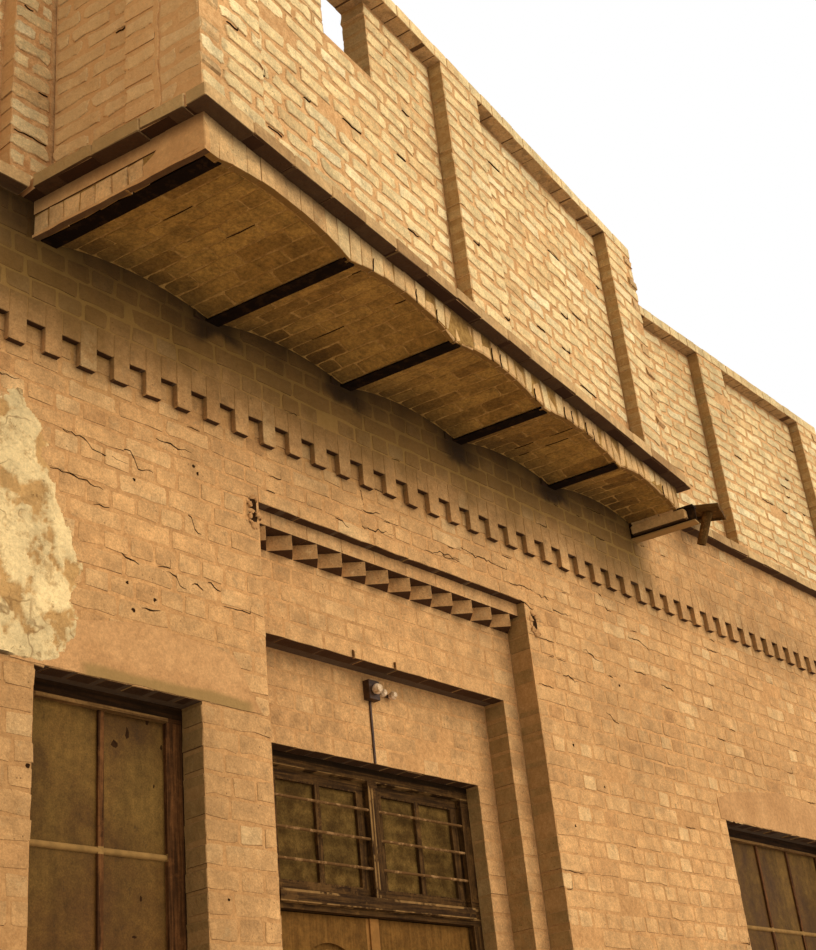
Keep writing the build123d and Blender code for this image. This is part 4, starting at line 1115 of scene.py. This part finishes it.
# Broken brick and mortar at the frieze's ends: a hollow drawn as a dark patch of painted shade, with lumps
# round it
for x, z, wide, high in ((-1.05, 4.22, 0.05, 0.15), (1.09, 4.16, 0.06, 0.12)):
    turn = np.linspace(0, 2 * math.pi, 13)[:-1]
    hollow = [(x + 0.5 * wide * math.cos(t), z + 0.5 * high * math.sin(t)) for t in turn]
    WALL_CRACKS.patch(hollow, EAST, UP, np.zeros(3), front=CRACK_OUT, depth=0.004, ragged=0.006,
                      round_edge=0.0003)
    for t in rng.uniform(0, 2 * math.pi, 14):
        middle = np.array((x + 0.55 * wide * math.cos(t), 0.0, z + 0.5 * high * math.sin(t)))
        lump = ragged_ring(7, 0.008, 0.024)
        RUBBLE.prism(lump, EAST, UP, middle, depth=0.012, bevel=0.004, front=-rng.uniform(0.002, 0.01),
                     tilt=0.3)

# Plaster that still clings to the wall: a pale peeling patch, and smooth bands over the windows
PATCH = np.array(((-2.95, 3.2), (-2.34, 3.27), (-2.11, 3.31), (-2.04, 3.4), (-2.02, 3.55), (-2.01, 3.72),
                  (-2.12, 3.95), (-2.18, 4.2), (-2.3, 4.36), (-2.5, 4.27), (-2.95, 4.3)))
PATCH_CELL = 0.009


def inside_patch(x, z):
    """Distance inward from the patch's outline, negative outside it."""
    here = np.array((x, z))
    nearest, odd = 1.0, False
    for a, b in zip(PATCH, np.roll(PATCH, -1, 0)):
        run = b - a
        share = min(1.0, max(0.0, (here - a) @ run / (run @ run)))
        nearest = min(nearest, float(np.linalg.norm(here - a - run * share)))
        if (a[1] > z) != (b[1] > z) and x < a[0] + (z - a[1]) / (b[1] - a[1]) * (b[0] - a[0]):
            odd = not odd
    return nearest if odd else -nearest


def patch_height(x, z):
    """Height of the plaster over the wall, and how pale it is: flakes over a rough coat."""
    inside = inside_patch(x, z)
    if inside < -0.02 or z < WINDOW_HEAD + 0.006:
        return -1.0, 0.0
    edge = inside + 0.04 * noise.fractal((x * 8, 0.3, z * 8), 0.9, 2.1, 5)
    coat = 0.005 * noise.fractal((x * 20, 1.7, z * 20), 0.7, 2.1, 5) + 0.005
    flake = noise.fractal((x * 8, 4.1, z * 6), 0.8, 2.1, 6) + 0.22
    layer = 1.0 / (1.0 + math.exp(-13.0 * flake))
    height = coat + 0.007 * layer + 0.004 * layer * noise.noise((x * 26, 2.2, z * 15))
    return min(1.0, max(-1.0, edge / 0.03)) * 0.009 + height - 0.009, layer


def relief(name, low, high, cell, height_at, material):
    """A closed piece of plaster on the wall face whose front follows height_at."""
    xs = np.arange(low[0], high[0] + cell / 2, cell)
    zs = np.arange(low[1], high[1] + cell / 2, cell)
    heights = np.array([[height_at(x, z) for z in zs] for x in xs])
    high_enough = heights[:, :, 0] > -0.001
    shown = high_enough[:-1, :-1] | high_enough[1:, :-1] | high_enough[:-1, 1:] | high_enough[1:, 1:]
    points, tones, index, faces, edges = [], [], {}, [], {}
    for i, j in np.argwhere(shown):
        ring = []
        for a, b in ((i, j), (i + 1, j), (i + 1, j + 1), (i, j + 1)):
            if (a, b) not in index:
                index[(a, b)] = len(points)
                height, tone = heights[a, b]
                points.append((xs[a], -max(height, -0.002), zs[b]))
                points.append((xs[a], 0.005, zs[b]))
                tones += [tone, tone]
            ring.append(index[(a, b)])
        faces.append(ring)
        faces.append([k + 1 for k in ring[::-1]])
        for k in range(4):
            pair = (ring[k], ring[(k + 1) % 4])
            if pair[::-1] in edges:
                del edges[pair[::-1]]
            else:
                edges[pair] = True
    faces += [[a + 1, b + 1, b, a] for a, b in edges]
    return build_object(name, np.array(points), faces, [material], values={"tone": tones})


relief("plaster_patch", PATCH.min(0) - 0.05, PATCH.max(0) + 0.05, PATCH_CELL, patch_height, PALE_PLASTER)
for left, right in ((-2.3, -1.06), (2.85, 4.6), (-4.6, -2.85)):
    foot = [(left, WINDOW_HEAD + 0.002), (right, WINDOW_HEAD + 0.002)]
    top = [(right - 0.02, 3.3), (right - 0.15, 3.5), ((left + right) / 2, 3.54), (left + 0.25, 3.47),
           (left, 3.4)]
    LINTEL.patch(foot + top, EAST, UP, np.zeros(3), front=0.0015, depth=0.004, ragged=0.0015,
                 round_edge=0.0012)

# Two pegs left in the edge over the lamp
for x in (-0.305, -0.003):
    peg = np.array((x - 0.004, RECESS_DEPTH - 0.01, 3.71))
    PEGS.brick(peg, EAST, UP, 0.008, 0.042, 0.009, bevel=0.002, corner=0.003, wobble=0.001)

# Beads over the window sheets, and a dark strip of painted shade in the slit beside each frame
for low, high in PANE_SPANS:
    bead = np.array((low - 0.005, 0.11, WINDOW_HEAD - 0.072))
    BEADS.brick(bead, EAST, UP, high - low + 0.01, 0.015, 0.03, corner=0.003, wobble=0.0005)
    for edge in (low - 0.0855, high + 0.0805):
        slit = np.array((edge, 0.1232, 0.99))
        WALL_CRACKS.brick(slit, EAST, UP, 0.005, WINDOW_HEAD - 0.995, 0.01, bevel=0.0004)

# Tears in the narrow window's sheet, dark patches of painted shade: middle, width and height of each
SHEET_FACE = 0.142
for x, z, wide, high in ((-1.66, 3.13, 0.018, 0.05), (-1.72, 3.08, 0.035, 0.03), (-1.56, 3.19, 0.015, 0.028),
                         (-1.49, 3.1, 0.014, 0.022), (-1.53, 2.94, 0.01, 0.022), (-1.6, 2.51, 0.013, 0.022),
                         (-1.63, 2.37, 0.024, 0.012), (-1.95, 2.2, 0.012, 0.02)):
    tear = ragged_ring(8, 0.3, 0.6, 0.3) * (wide, high)
    middle = np.array((x, SHEET_FACE, z))
    TEARS.prism(tear, EAST, UP, middle, depth=0.002, bevel=0.0003, front=-CRACK_OUT)

# Balcony slab: arches between beams, and the upright bricks of its edge
PLASTER_LOW = 5.21
HAUNCH_LOW = 5.034
HAUNCH_TOP = 5.1
HAUNCH_OUT = 0.045
HAUNCH_SHORT = 0.055
ARCH_PITCH = BEAM_PITCH * math.cos(BEAM_TURN)
CHORD = ARCH_PITCH - FLANGE
ARC_RADIUS = ((CHORD / 2) ** 2 + ARCH_RISE ** 2) / (2 * ARCH_RISE)
ARC_CENTRE = SOFFIT + ARCH_SPRING + ARCH_RISE - ARC_RADIUS


def arc_level(across):
    """Height of an arch's underside at a distance across it from its middle."""
    return ARC_CENTRE + math.sqrt(ARC_RADIUS ** 2 - across ** 2)


def along_beam(point, normal, offset):
    """How far along the beams from point the plane normal . p = offset lies."""
    return (offset - point @ normal) / (BEAM_IN @ normal)


FRONT_OFFSET = CORNER @ FRONT_IN
HALF_ANGLE = math.asin(CHORD / 2 / ARC_RADIUS)
for bay in range(BEAM_COUNT - 1):
    middle = np.array((BEAM_FIRST + BEAM_PITCH * (bay + 0.5), 0.0, 0.0))
    for row in range(VAULT_ROWS):
        a0 = -HALF_ANGLE + 2 * HALF_ANGLE * row / VAULT_ROWS
        a1 = -HALF_ANGLE + 2 * HALF_ANGLE * (row + 1) / VAULT_ROWS
        angle = (a0 + a1) / 2
        width = 2 * ARC_RADIUS * math.sin((a1 - a0) / 2)
        tangent = BEAM_ACROSS * math.cos(angle) - UP * math.sin(angle)
        level = ARC_CENTRE + ARC_RADIUS * math.cos(angle)
        foot = middle + BEAM_ACROSS * (ARC_RADIUS * math.sin(angle)) + UP * level
        start = along_beam(foot, FRONT_IN, FRONT_OFFSET + 0.042)
        stop = along_beam(foot, NORTH, BAND_FACE - 0.004)
        phase = STRETCHER * (0.5 * (row % 2) + 0.1 * rng.normal())
        edges = [start] + joints_between(start, stop, STRETCHER, phase, 0.006) + [stop]
        for low, high in zip(edges[:-1], edges[1:]):
            length = high - low - 2 * VAULT_GAP
            if length < 0.03:
                continue
            sink = rng.uniform(0.0, 0.002)
            origin = foot + BEAM_IN * (low + VAULT_GAP) - tangent * (width / 2 - VAULT_GAP)
            VAULTS.brick(origin, BEAM_IN, tangent, length, width - 2 * VAULT_GAP, 0.05, bevel=0.0025,
                         corner=0.014, front=sink, wobble=0.0025, smear=0.01, tilt=0.008)
            # Now and then a crack between the vault bricks, a dark strip of painted shade
            if rng.random() < 0.06:
                line = [(0.0, -0.004), (length * 0.3, -0.002), (length * 0.6, -0.006)]
                VAULTS_CRACKS.crack(line, BEAM_IN, tangent, origin, 0.005)


def slab_edge(start, direction, length, depth, low_at, top=LEDGE_LOW, sink=0.0):
    """Upright bricks along a side of the slab, feet on low_at; a sunk side grows rough along its run."""
    count = round(length / EDGE_PITCH)
    step = length / count
    for i in range(count):
        rough = min(1.0, max(0.25, i / 16 - 0.3)) if sink else 1.0
        a, b = i * step + 0.003 * rough, (i + 1) * step - 0.003 * rough
        feet = (low_at(a) - UNDER, low_at(b) - UNDER)
        low = min(feet)
        origin = start + direction * a + UP * low
        high = top - low - 0.002 + rng.uniform(-0.006, 0.0) * rough
        corners = np.array([(0.0, feet[0] - low), (b - a, feet[1] - low), (b - a, high), (0.0, high)])
        corners += rng.normal(0, 0.003 * rough, (4, 2))
        SLAB_EDGE.prism(corners, direction, UP, origin, depth, bevel=0.006 * rough,
                        front=sink + rng.uniform(0.0, 0.007) * rough, smear=0.012, tilt=0.04 * rough)
        # Now and then a hole in the sunk edge, a dark strip of painted shade
        if sink and rng.random() < 0.3 * rough:
            hole = [(rng.normal(0, 0.004), -0.01), (rng.normal(0, 0.004), 0.02), (0.0, 0.045), (0.006, 0.07)]
            VAULTS_CRACKS.crack(hole, direction, UP, origin, rng.uniform(0.006, 0.014))


def front_low(distance):
    """Underside of the slab at a distance along its front edge."""
    point = CORNER + FRONT_DIR * distance
    across = (point - np.array((BEAM_FIRST, 0.0, 0.0))) @ BEAM_ACROSS
    bay = math.floor(across / ARCH_PITCH)
    within = across - ARCH_PITCH * (bay + 0.5)
    if bay < 0 or bay >= BEAM_COUNT - 1 or abs(within) > CHORD / 2:
        return SOFFIT
    return arc_level(within)


slab_edge(CORNER, FRONT_DIR, BALCONY_LENGTH, 0.036, front_low, sink=0.003)
left_run = along_beam(CORNER, NORTH, BAND_FACE)
back_left = CORNER + BEAM_IN * left_run
bare_run = 0.66 * left_run
slab_edge(back_left, -BEAM_IN, bare_run, 0.04, lambda distance: SOFFIT, PLASTER_LOW)
CORNER_RIGHT = CORNER + FRONT_DIR * BALCONY_LENGTH
right_run = along_beam(CORNER_RIGHT, NORTH, BAND_FACE)
slab_edge(CORNER_RIGHT + BEAM_IN * 0.04, BEAM_IN, right_run - 0.045, 0.06, lambda distance: SOFFIT)

# Render on the slab's left side: a band under the ledge, and all of it near the corner
SLAB_RENDER.brick(back_left + UP * PLASTER_LOW, -BEAM_IN, UP, left_run - 0.04,
                  LEDGE_LOW - PLASTER_LOW - 0.001, 0.03, front=0.001, wobble=0.0)
SLAB_HIGH = LEDGE_LOW - SOFFIT
left_foot = back_left + UP * SOFFIT
near_corner = [(bare_run, 0.0), (left_run, 0.0), (left_run, SLAB_HIGH), (bare_run + 0.12, SLAB_HIGH),
               (bare_run, 0.06)]
SLAB_RENDER.patch(near_corner, -BEAM_IN, UP, left_foot, front=0.0, depth=0.03, ragged=0.003)

# A lip over the first beam
LIP = 0.008
lip = [(0.0, -LIP), (left_run, -LIP), (left_run, LIP), (0.0, LIP)]
SLAB_RENDER.patch(lip, -BEAM_IN, UP, left_foot, front=0.003, depth=0.03, ragged=0.0018)

# Mortar where the parapets stand on the ledge
FOOT_LOW = -0.004
FOOT_HIGH = 0.022
for start, direction, length in (
        (CORNER, FRONT_DIR, BALCONY_LENGTH), (back_left, -BEAM_IN, left_run),
        (np.array((-HOUSE_HALF, BAND_FACE, 0.0)), EAST, back_left[0] + HOUSE_HALF),
        (np.array((CORNER_RIGHT[0], BAND_FACE, 0.0)), EAST, HOUSE_HALF - CORNER_RIGHT[0])):
    low, high = 0.002, length - 0.002
    strip = [(low, FOOT_LOW), (high, FOOT_LOW), (high, FOOT_HIGH), (low, FOOT_HIGH)]
    FOOT.patch(strip, direction, UP, start + UP * TERRACE, front=0.005, depth=0.01, ragged=0.005)

# Mortar in the upright joint where the balcony's left and front parapets meet
TURN_JOINT = np.array((-2.171, -0.6915, 0.0))
TURN_HALF = 0.016
strip = [(-TURN_HALF, TERRACE), (TURN_HALF, TERRACE), (TURN_HALF, COPING_LOW), (-TURN_HALF, COPING_LOW)]
FOOT.patch(strip, -BEAM_IN, UP, TURN_JOINT, front=0.003, depth=0.01, ragged=0.004)

# Render between the right end beam's flanges
beam_line = np.array((BEAM_FIRST + BEAM_PITCH * (BEAM_COUNT - 1), 0.0, 0.0))
beam_points = mesh_arrays("balcony_end_beam")[0]
beam_reach = ((beam_points - beam_line) @ -BEAM_IN).max() - HAUNCH_SHORT
beam_root = beam_line + BEAM_IN * along_beam(beam_line, NORTH, BAND_FACE) - BEAM_ACROSS * HAUNCH_OUT
root_run = (beam_root - beam_line) @ -BEAM_IN
SLAB_RENDER.brick(beam_root + UP * HAUNCH_LOW, -BEAM_IN, UP, beam_reach - root_run, HAUNCH_TOP - HAUNCH_LOW,
                  HAUNCH_OUT - 0.004, bevel=0.006, corner=0.02, wobble=0.001)

# Ledge tiles, round every outer edge
spans = spans_at((LEDGE_LOW + TERRACE) / 2)
for span in spans:
    if abs(span.middle[0]) < HOUSE_HALF - 0.01 and 0.0 < span.middle[1] < HOUSE_DEPTH - 0.01:
        continue
    inset = 0.0 if span.faces_front else LEDGE_DEPTH + 0.008
    shifts = [inset if corner_at(spans, span, end)[0] == "convex" else 0.004 for end in (0, 1)]
    low, high = span.low + shifts[0], span.high - shifts[1]
    edges = [low] + joints_between(low, high, LEDGE_PITCH, 0.05, 0.008) + [high]
    for i, a, b in between(edges, 0.0004):
        front = rng.uniform(0.0, 0.003)
        origin = span.face.point(a) + UP * (LEDGE_LOW - UNDER)
        height = TERRACE - LEDGE_LOW - rng.uniform(0.001, 0.004)
        LEDGE.brick(origin, span.face.along, UP, b - a, height, LEDGE_DEPTH, corner=0.009, front=front,
                    wobble=0.0028)


# Coping: bricks laid through the thickness of each parapet
def coping_run(start, direction, length):
    """Coping bricks along the outer face's line, from start."""
    count = round(length / HEADER)
    step = length / count
    for i in range(count):
        a = i * step + 0.001
        origin = start + direction * a + UP * (COPING_LOW - UNDER)
        front = rng.uniform(0.0, 0.003)
        COPING.brick(origin, direction, UP, step - 0.002, PARAPET_TOP - COPING_LOW - rng.uniform(0.0, 0.004),
                     PARAPET_THICK - rng.uniform(0.0, 0.006), bevel=0.003, corner=0.008, front=front,
                     wobble=0.0015, smear=0.008)


left_wall_x = back_left[0]
right_wall_x = (CORNER_RIGHT + BEAM_IN * right_run)[0]
side_across = PARAPET_THICK / math.cos(BEAM_TURN)
coping_run(CORNER, FRONT_DIR, BALCONY_LENGTH)
side_from = along_beam(CORNER, FRONT_IN, FRONT_OFFSET + PARAPET_THICK)
coping_run(back_left, -BEAM_IN, left_run - side_from)
side_from = along_beam(CORNER_RIGHT, FRONT_IN, FRONT_OFFSET + PARAPET_THICK)
coping_run(CORNER_RIGHT + BEAM_IN * side_from, BEAM_IN, right_run - side_from)
coping_run(np.array((-HOUSE_HALF, BAND_FACE, 0.0)), EAST, left_wall_x + side_across + HOUSE_HALF)
coping_run(np.array((right_wall_x - side_across, BAND_FACE, 0.0)), EAST,
           HOUSE_HALF - right_wall_x + side_across)
inner_x = HOUSE_HALF - PARAPET_THICK
inner_y = BAND_FACE + PARAPET_THICK
coping_run(np.array((-HOUSE_HALF, HOUSE_DEPTH, 0.0)), -NORTH, HOUSE_DEPTH - inner_y)
coping_run(np.array((HOUSE_HALF, inner_y, 0.0)), NORTH, HOUSE_DEPTH - inner_y)
coping_run(np.array((inner_x, HOUSE_DEPTH, 0.0)), -EAST, 2 * inner_x)


# Terrace floor: square tiles clipped to its outline
def clip(outline, point, normal):
    """The part of a convex outline on the side that normal points to."""
    kept = []
    for here, there in zip(outline, outline[1:] + outline[:1]):
        d_here = (here - point) @ normal
        d_there = (there - point) @ normal
        if d_here >= 0:
            kept.append(here)
        if d_here * d_there < 0:
            kept.append(here + (there - here) * d_here / (d_here - d_there))
    return kept


def lay_tiles(corners):
    """Square tiles over a convex outline given counter-clockwise in plan."""
    corners = [np.asarray(c, float) for c in corners]
    low, high = np.min(corners, 0) / TILE, np.max(corners, 0) / TILE
    for i in range(math.floor(low[0]), math.ceil(high[0])):
        for j in range(math.floor(low[1]), math.ceil(high[1])):
            west, east = i * TILE + TILE_GAP, (i + 1) * TILE - TILE_GAP
            south, north = j * TILE + TILE_GAP, (j + 1) * TILE - TILE_GAP
            outline = [np.array(c) for c in ((west, south), (east, south), (east, north), (west, north))]
            for here, there in zip(corners, corners[1:] + corners[:1]):
                run = there - here
                outline = clip(outline, here, np.array((-run[1], run[0])) / np.linalg.norm(run))
            if len(outline) < 3:
                continue
            ring = np.array(outline)
            x, y = ring.T
            if 0.5 * abs(x @ np.roll(y, 1) - y @ np.roll(x, 1)) < TILE_LEAST:
                continue
            FLOOR.prism(ring, EAST, NORTH, UP * TERRACE, depth=0.03, bevel=0.003,
                        front=rng.uniform(0.0, 0.002))


rear_y = HOUSE_DEPTH - PARAPET_THICK
lay_tiles([(-inner_x, inner_y), (inner_x, inner_y), (inner_x, rear_y), (-inner_x, rear_y)])


def balcony_side(corner, inward):
    """The front and back ends of the balcony floor's side at a corner, inside its parapet."""
    base = corner + inward * PARAPET_THICK
    front = base + BEAM_IN * along_beam(base, FRONT_IN, FRONT_OFFSET + PARAPET_THICK)
    back = base + BEAM_IN * along_beam(base, NORTH, inner_y)
    return front[:2], back[:2]


left_front, left_back = balcony_side(CORNER, BEAM_ACROSS)
right_front, right_back = balcony_side(CORNER_RIGHT, -BEAM_ACROSS)
lay_tiles([left_front, right_front, right_back, left_back])


# Cores: the CAD masonry with its bricked faces moved in to the depth of the joints
def sink_of(normal, point):
    """How far a face of the masonry moves in behind its bricks."""
    z = point[2]
    if normal[2] > 0.5:
        if z > PARAPET_TOP - 0.01:
            return 0.014
        return 0.007 if abs(z - TERRACE) < 0.01 else 0.0
    if normal[2] < -0.5:
        slab = point[1] < BAND_FACE and z < LEDGE_LOW - 0.01 and z > SOFFIT - 0.01
        return SOFFIT_SINK if slab else 0.0
    if is_plain(normal, point):
        return 0.0
    if z > TERRACE:
        turned = abs(normal @ FRONT_DIR) > 0.9998 or abs(normal[0]) > 0.9999 and point[1] < 0.1
        return RETURN_SINK if turned and abs(point[0]) < HOUSE_HALF - 0.01 else PARAPET_SINK
    if z > LEDGE_LOW:
        return 0.014
    if in_recess(point):
        return RECESS_SINK
    return 0.008 if point[1] < BAND_FACE - 0.002 else LOWER_SINK


def core(node, mortar, plain):
    """A copy of a masonry node, its bricked faces sunk, that stands for the node."""
    points, corners = mesh_arrays(node)
    keys = np.round(points * 5000).astype(np.int64)
    unique, first, index = np.unique(keys, axis=0, return_index=True, return_inverse=True)
    index = index.reshape(-1)
    places = points[first]
    corners = index[corners]
    shape = places[corners]
    normals, area = normals_of(shape)
    keep = area > 1e-9
    corners, shape, normals = corners[keep], shape[keep], normals[keep] / area[keep][:, None]
    middles = shape.mean(1)
    sinks = np.array([sink_of(n, m) for n, m in zip(normals, middles)])
    rows = [{} for _ in places]
    for triangle, normal, sink in zip(corners, normals, sinks):
        key = tuple(np.round(normal, 3))
        for vertex in triangle:
            rows[vertex][key] = (normal, sink)
    moved = places.copy()
    for vertex, found in enumerate(rows):
        wanted = np.array([-sink for _, sink in found.values()])
        if not wanted.any():
            continue
        directions = np.array([normal for normal, _ in found.values()])
        moved[vertex] += np.linalg.lstsq(directions, wanted, rcond=None)[0]
    indices = [0 if sink > 0 else 1 for sink in sinks]
    piece = build_object("core_" + node, moved, corners.tolist(), [mortar, plain], indices=indices)
    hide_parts(node)


# Mortar of the bricked faces and plaster of the plain ones, by the node's slot
CORE_DRESS = {
    "parapet_brick": (PARAPET_MORTAR, PARAPET_MORTAR), "soffit_brick": (SOFFIT_MORTAR, SOFFIT_MORTAR),
    "ledge_tile": (PARAPET_MORTAR, LOWER_MORTAR), "paving": (PARAPET_MORTAR, LOWER_MORTAR),
    "wall_brick": (LOWER_MORTAR, PLASTER),
}
slots = {row["node"]: row["material_slot"] for row in frame["record"]["subparts"]}
for node in MASONRY:
    mortar, plain = CORE_DRESS[slots[node]]
    core(node, mortar, plain)

pieces = {group.name: group.finish() for group in Courses.made}
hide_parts("dentils")
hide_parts("frieze_course")
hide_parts("sawtooth_course")

# Materials of the CAD nodes that stay
DRESS = {
    "roof_arches": SOFFIT_BRICK, "roof_beams": BEAM_STEEL, "balcony_beams": BEAM_STEEL,
    "balcony_end_beam": END_STEEL, "floor_slab": FLOOR_TILE, "threshold": STEP_STONE,
    "door_frame": FRAME_WOOD, "transom_casements": FRAME_WOOD, "transom_glass": DUSTY_GLASS,
    "transom_bars": BAR_STEEL, "door_leaf_left": DOOR_WOOD, "door_leaf_right": DOOR_WOOD,
    "hinge_pins": BAR_STEEL, "hinge_straps_left": BAR_STEEL, "hinge_straps_right": BAR_STEEL,
    "window_narrow": WINDOW_WOOD, "window_wide_left": WINDOW_WOOD, "window_wide_right": WINDOW_WOOD,
    "window_rear_left": WINDOW_WOOD, "window_rear_right": WINDOW_WOOD, "window_panels": WINDOW_SHEET,
    "door_lamp": LAMP, "wall_bracket": SPOUT_STEEL,
}
for node, material in DRESS.items():
    mesh = nodes[node].data
    mesh.materials.clear()
    mesh.materials.append(material)

# Floor, light and camera
floor_mesh = bpy.data.meshes.new("studio_floor")
reach = 60.0
floor_mesh.from_pydata([(-reach, -reach, 0), (reach, -reach, 0), (reach, reach, 0), (-reach, reach, 0)], [],
                       [(0, 1, 2, 3)])
studio_floor = add_object("studio_floor", floor_mesh)
floor_shader = Shader("studio floor", 0.9, 0.1)
floor_mesh.materials.append(floor_shader.done((0.72, 0.71, 0.69)))

world = bpy.data.worlds.new("studio")
bpy.context.scene.world = world
world.use_nodes = True
sky = world.node_tree
background = sky.nodes["Background"]
background.inputs["Color"].default_value = (1.0, 0.985, 0.96, 1.0)
background.inputs["Strength"].default_value = 0.76
white = sky.nodes.new("ShaderNodeBackground")
white.inputs["Color"].default_value = (1.0, 1.0, 1.0, 1.0)
white.inputs["Strength"].default_value = 1.0

# White to the camera and in reflections, soft light for everything else
path = sky.nodes.new("ShaderNodeLightPath")
seen = path.outputs["Is Camera Ray"]
for ray in ("Is Glossy Ray", "Is Transmission Ray"):
    either = sky.nodes.new("ShaderNodeMath")
    either.operation = "MAXIMUM"
    sky.links.new(seen, either.inputs[0])
    sky.links.new(path.outputs[ray], either.inputs[1])
    seen = either.outputs[0]
choose = sky.nodes.new("ShaderNodeMixShader")
sky.links.new(seen, choose.inputs[0])
sky.links.new(background.outputs[0], choose.inputs[1])
sky.links.new(white.outputs[0], choose.inputs[2])
sky.links.new(choose.outputs[0], sky.nodes["World Output"].inputs["Surface"])


def turn_to(item, axes, place=(0.0, 0.0, 0.0)):
    """Sets where an object's x, y and z axes point, and its place."""
    matrix = np.identity(4)
    matrix[:3, :3] = np.column_stack(axes)
    matrix[:3, 3] = place
    item.matrix_world = Matrix(matrix.tolist())


def sun(name, direction, strength, angle_deg, colour):
    """A soft lamp shining along direction."""
    data = bpy.data.lights.new(name, "SUN")
    data.energy = strength
    data.angle = math.radians(angle_deg)
    data.color = colour
    z_axis = -np.array(direction) / np.linalg.norm(direction)
    x_axis = np.cross(UP, z_axis)
    x_axis /= np.linalg.norm(x_axis)
    turn_to(add_object(name, data), (x_axis, np.cross(z_axis, x_axis), z_axis))


sun("key", (-0.45, 0.8, -0.5), strength=1.9, angle_deg=50, colour=(1.0, 0.97, 0.92))

# The camera: its place, and its right, down and forward directions
CAMERA_PLACE = (-5.035, -4.0, 1.5)
CAMERA_ROWS = ((0.64921418, -0.75451631, -0.09605251),
               (0.28594838, 0.35913705, -0.88839974),
               (0.70480811, 0.54929565, 0.44890958))
camera_data = bpy.data.cameras.new("camera")
camera_data.sensor_fit = "HORIZONTAL"
camera_data.sensor_width = 36.0
camera_data.lens = 61.2
camera_data.clip_end = 500.0
camera = add_object("camera", camera_data)
right, down, ahead = (np.array(row) for row in CAMERA_ROWS)
turn_to(camera, (right, -down, -ahead), CAMERA_PLACE)
bpy.context.scene.camera = camera
bpy.context.scene.view_settings.view_transform = "Standard"
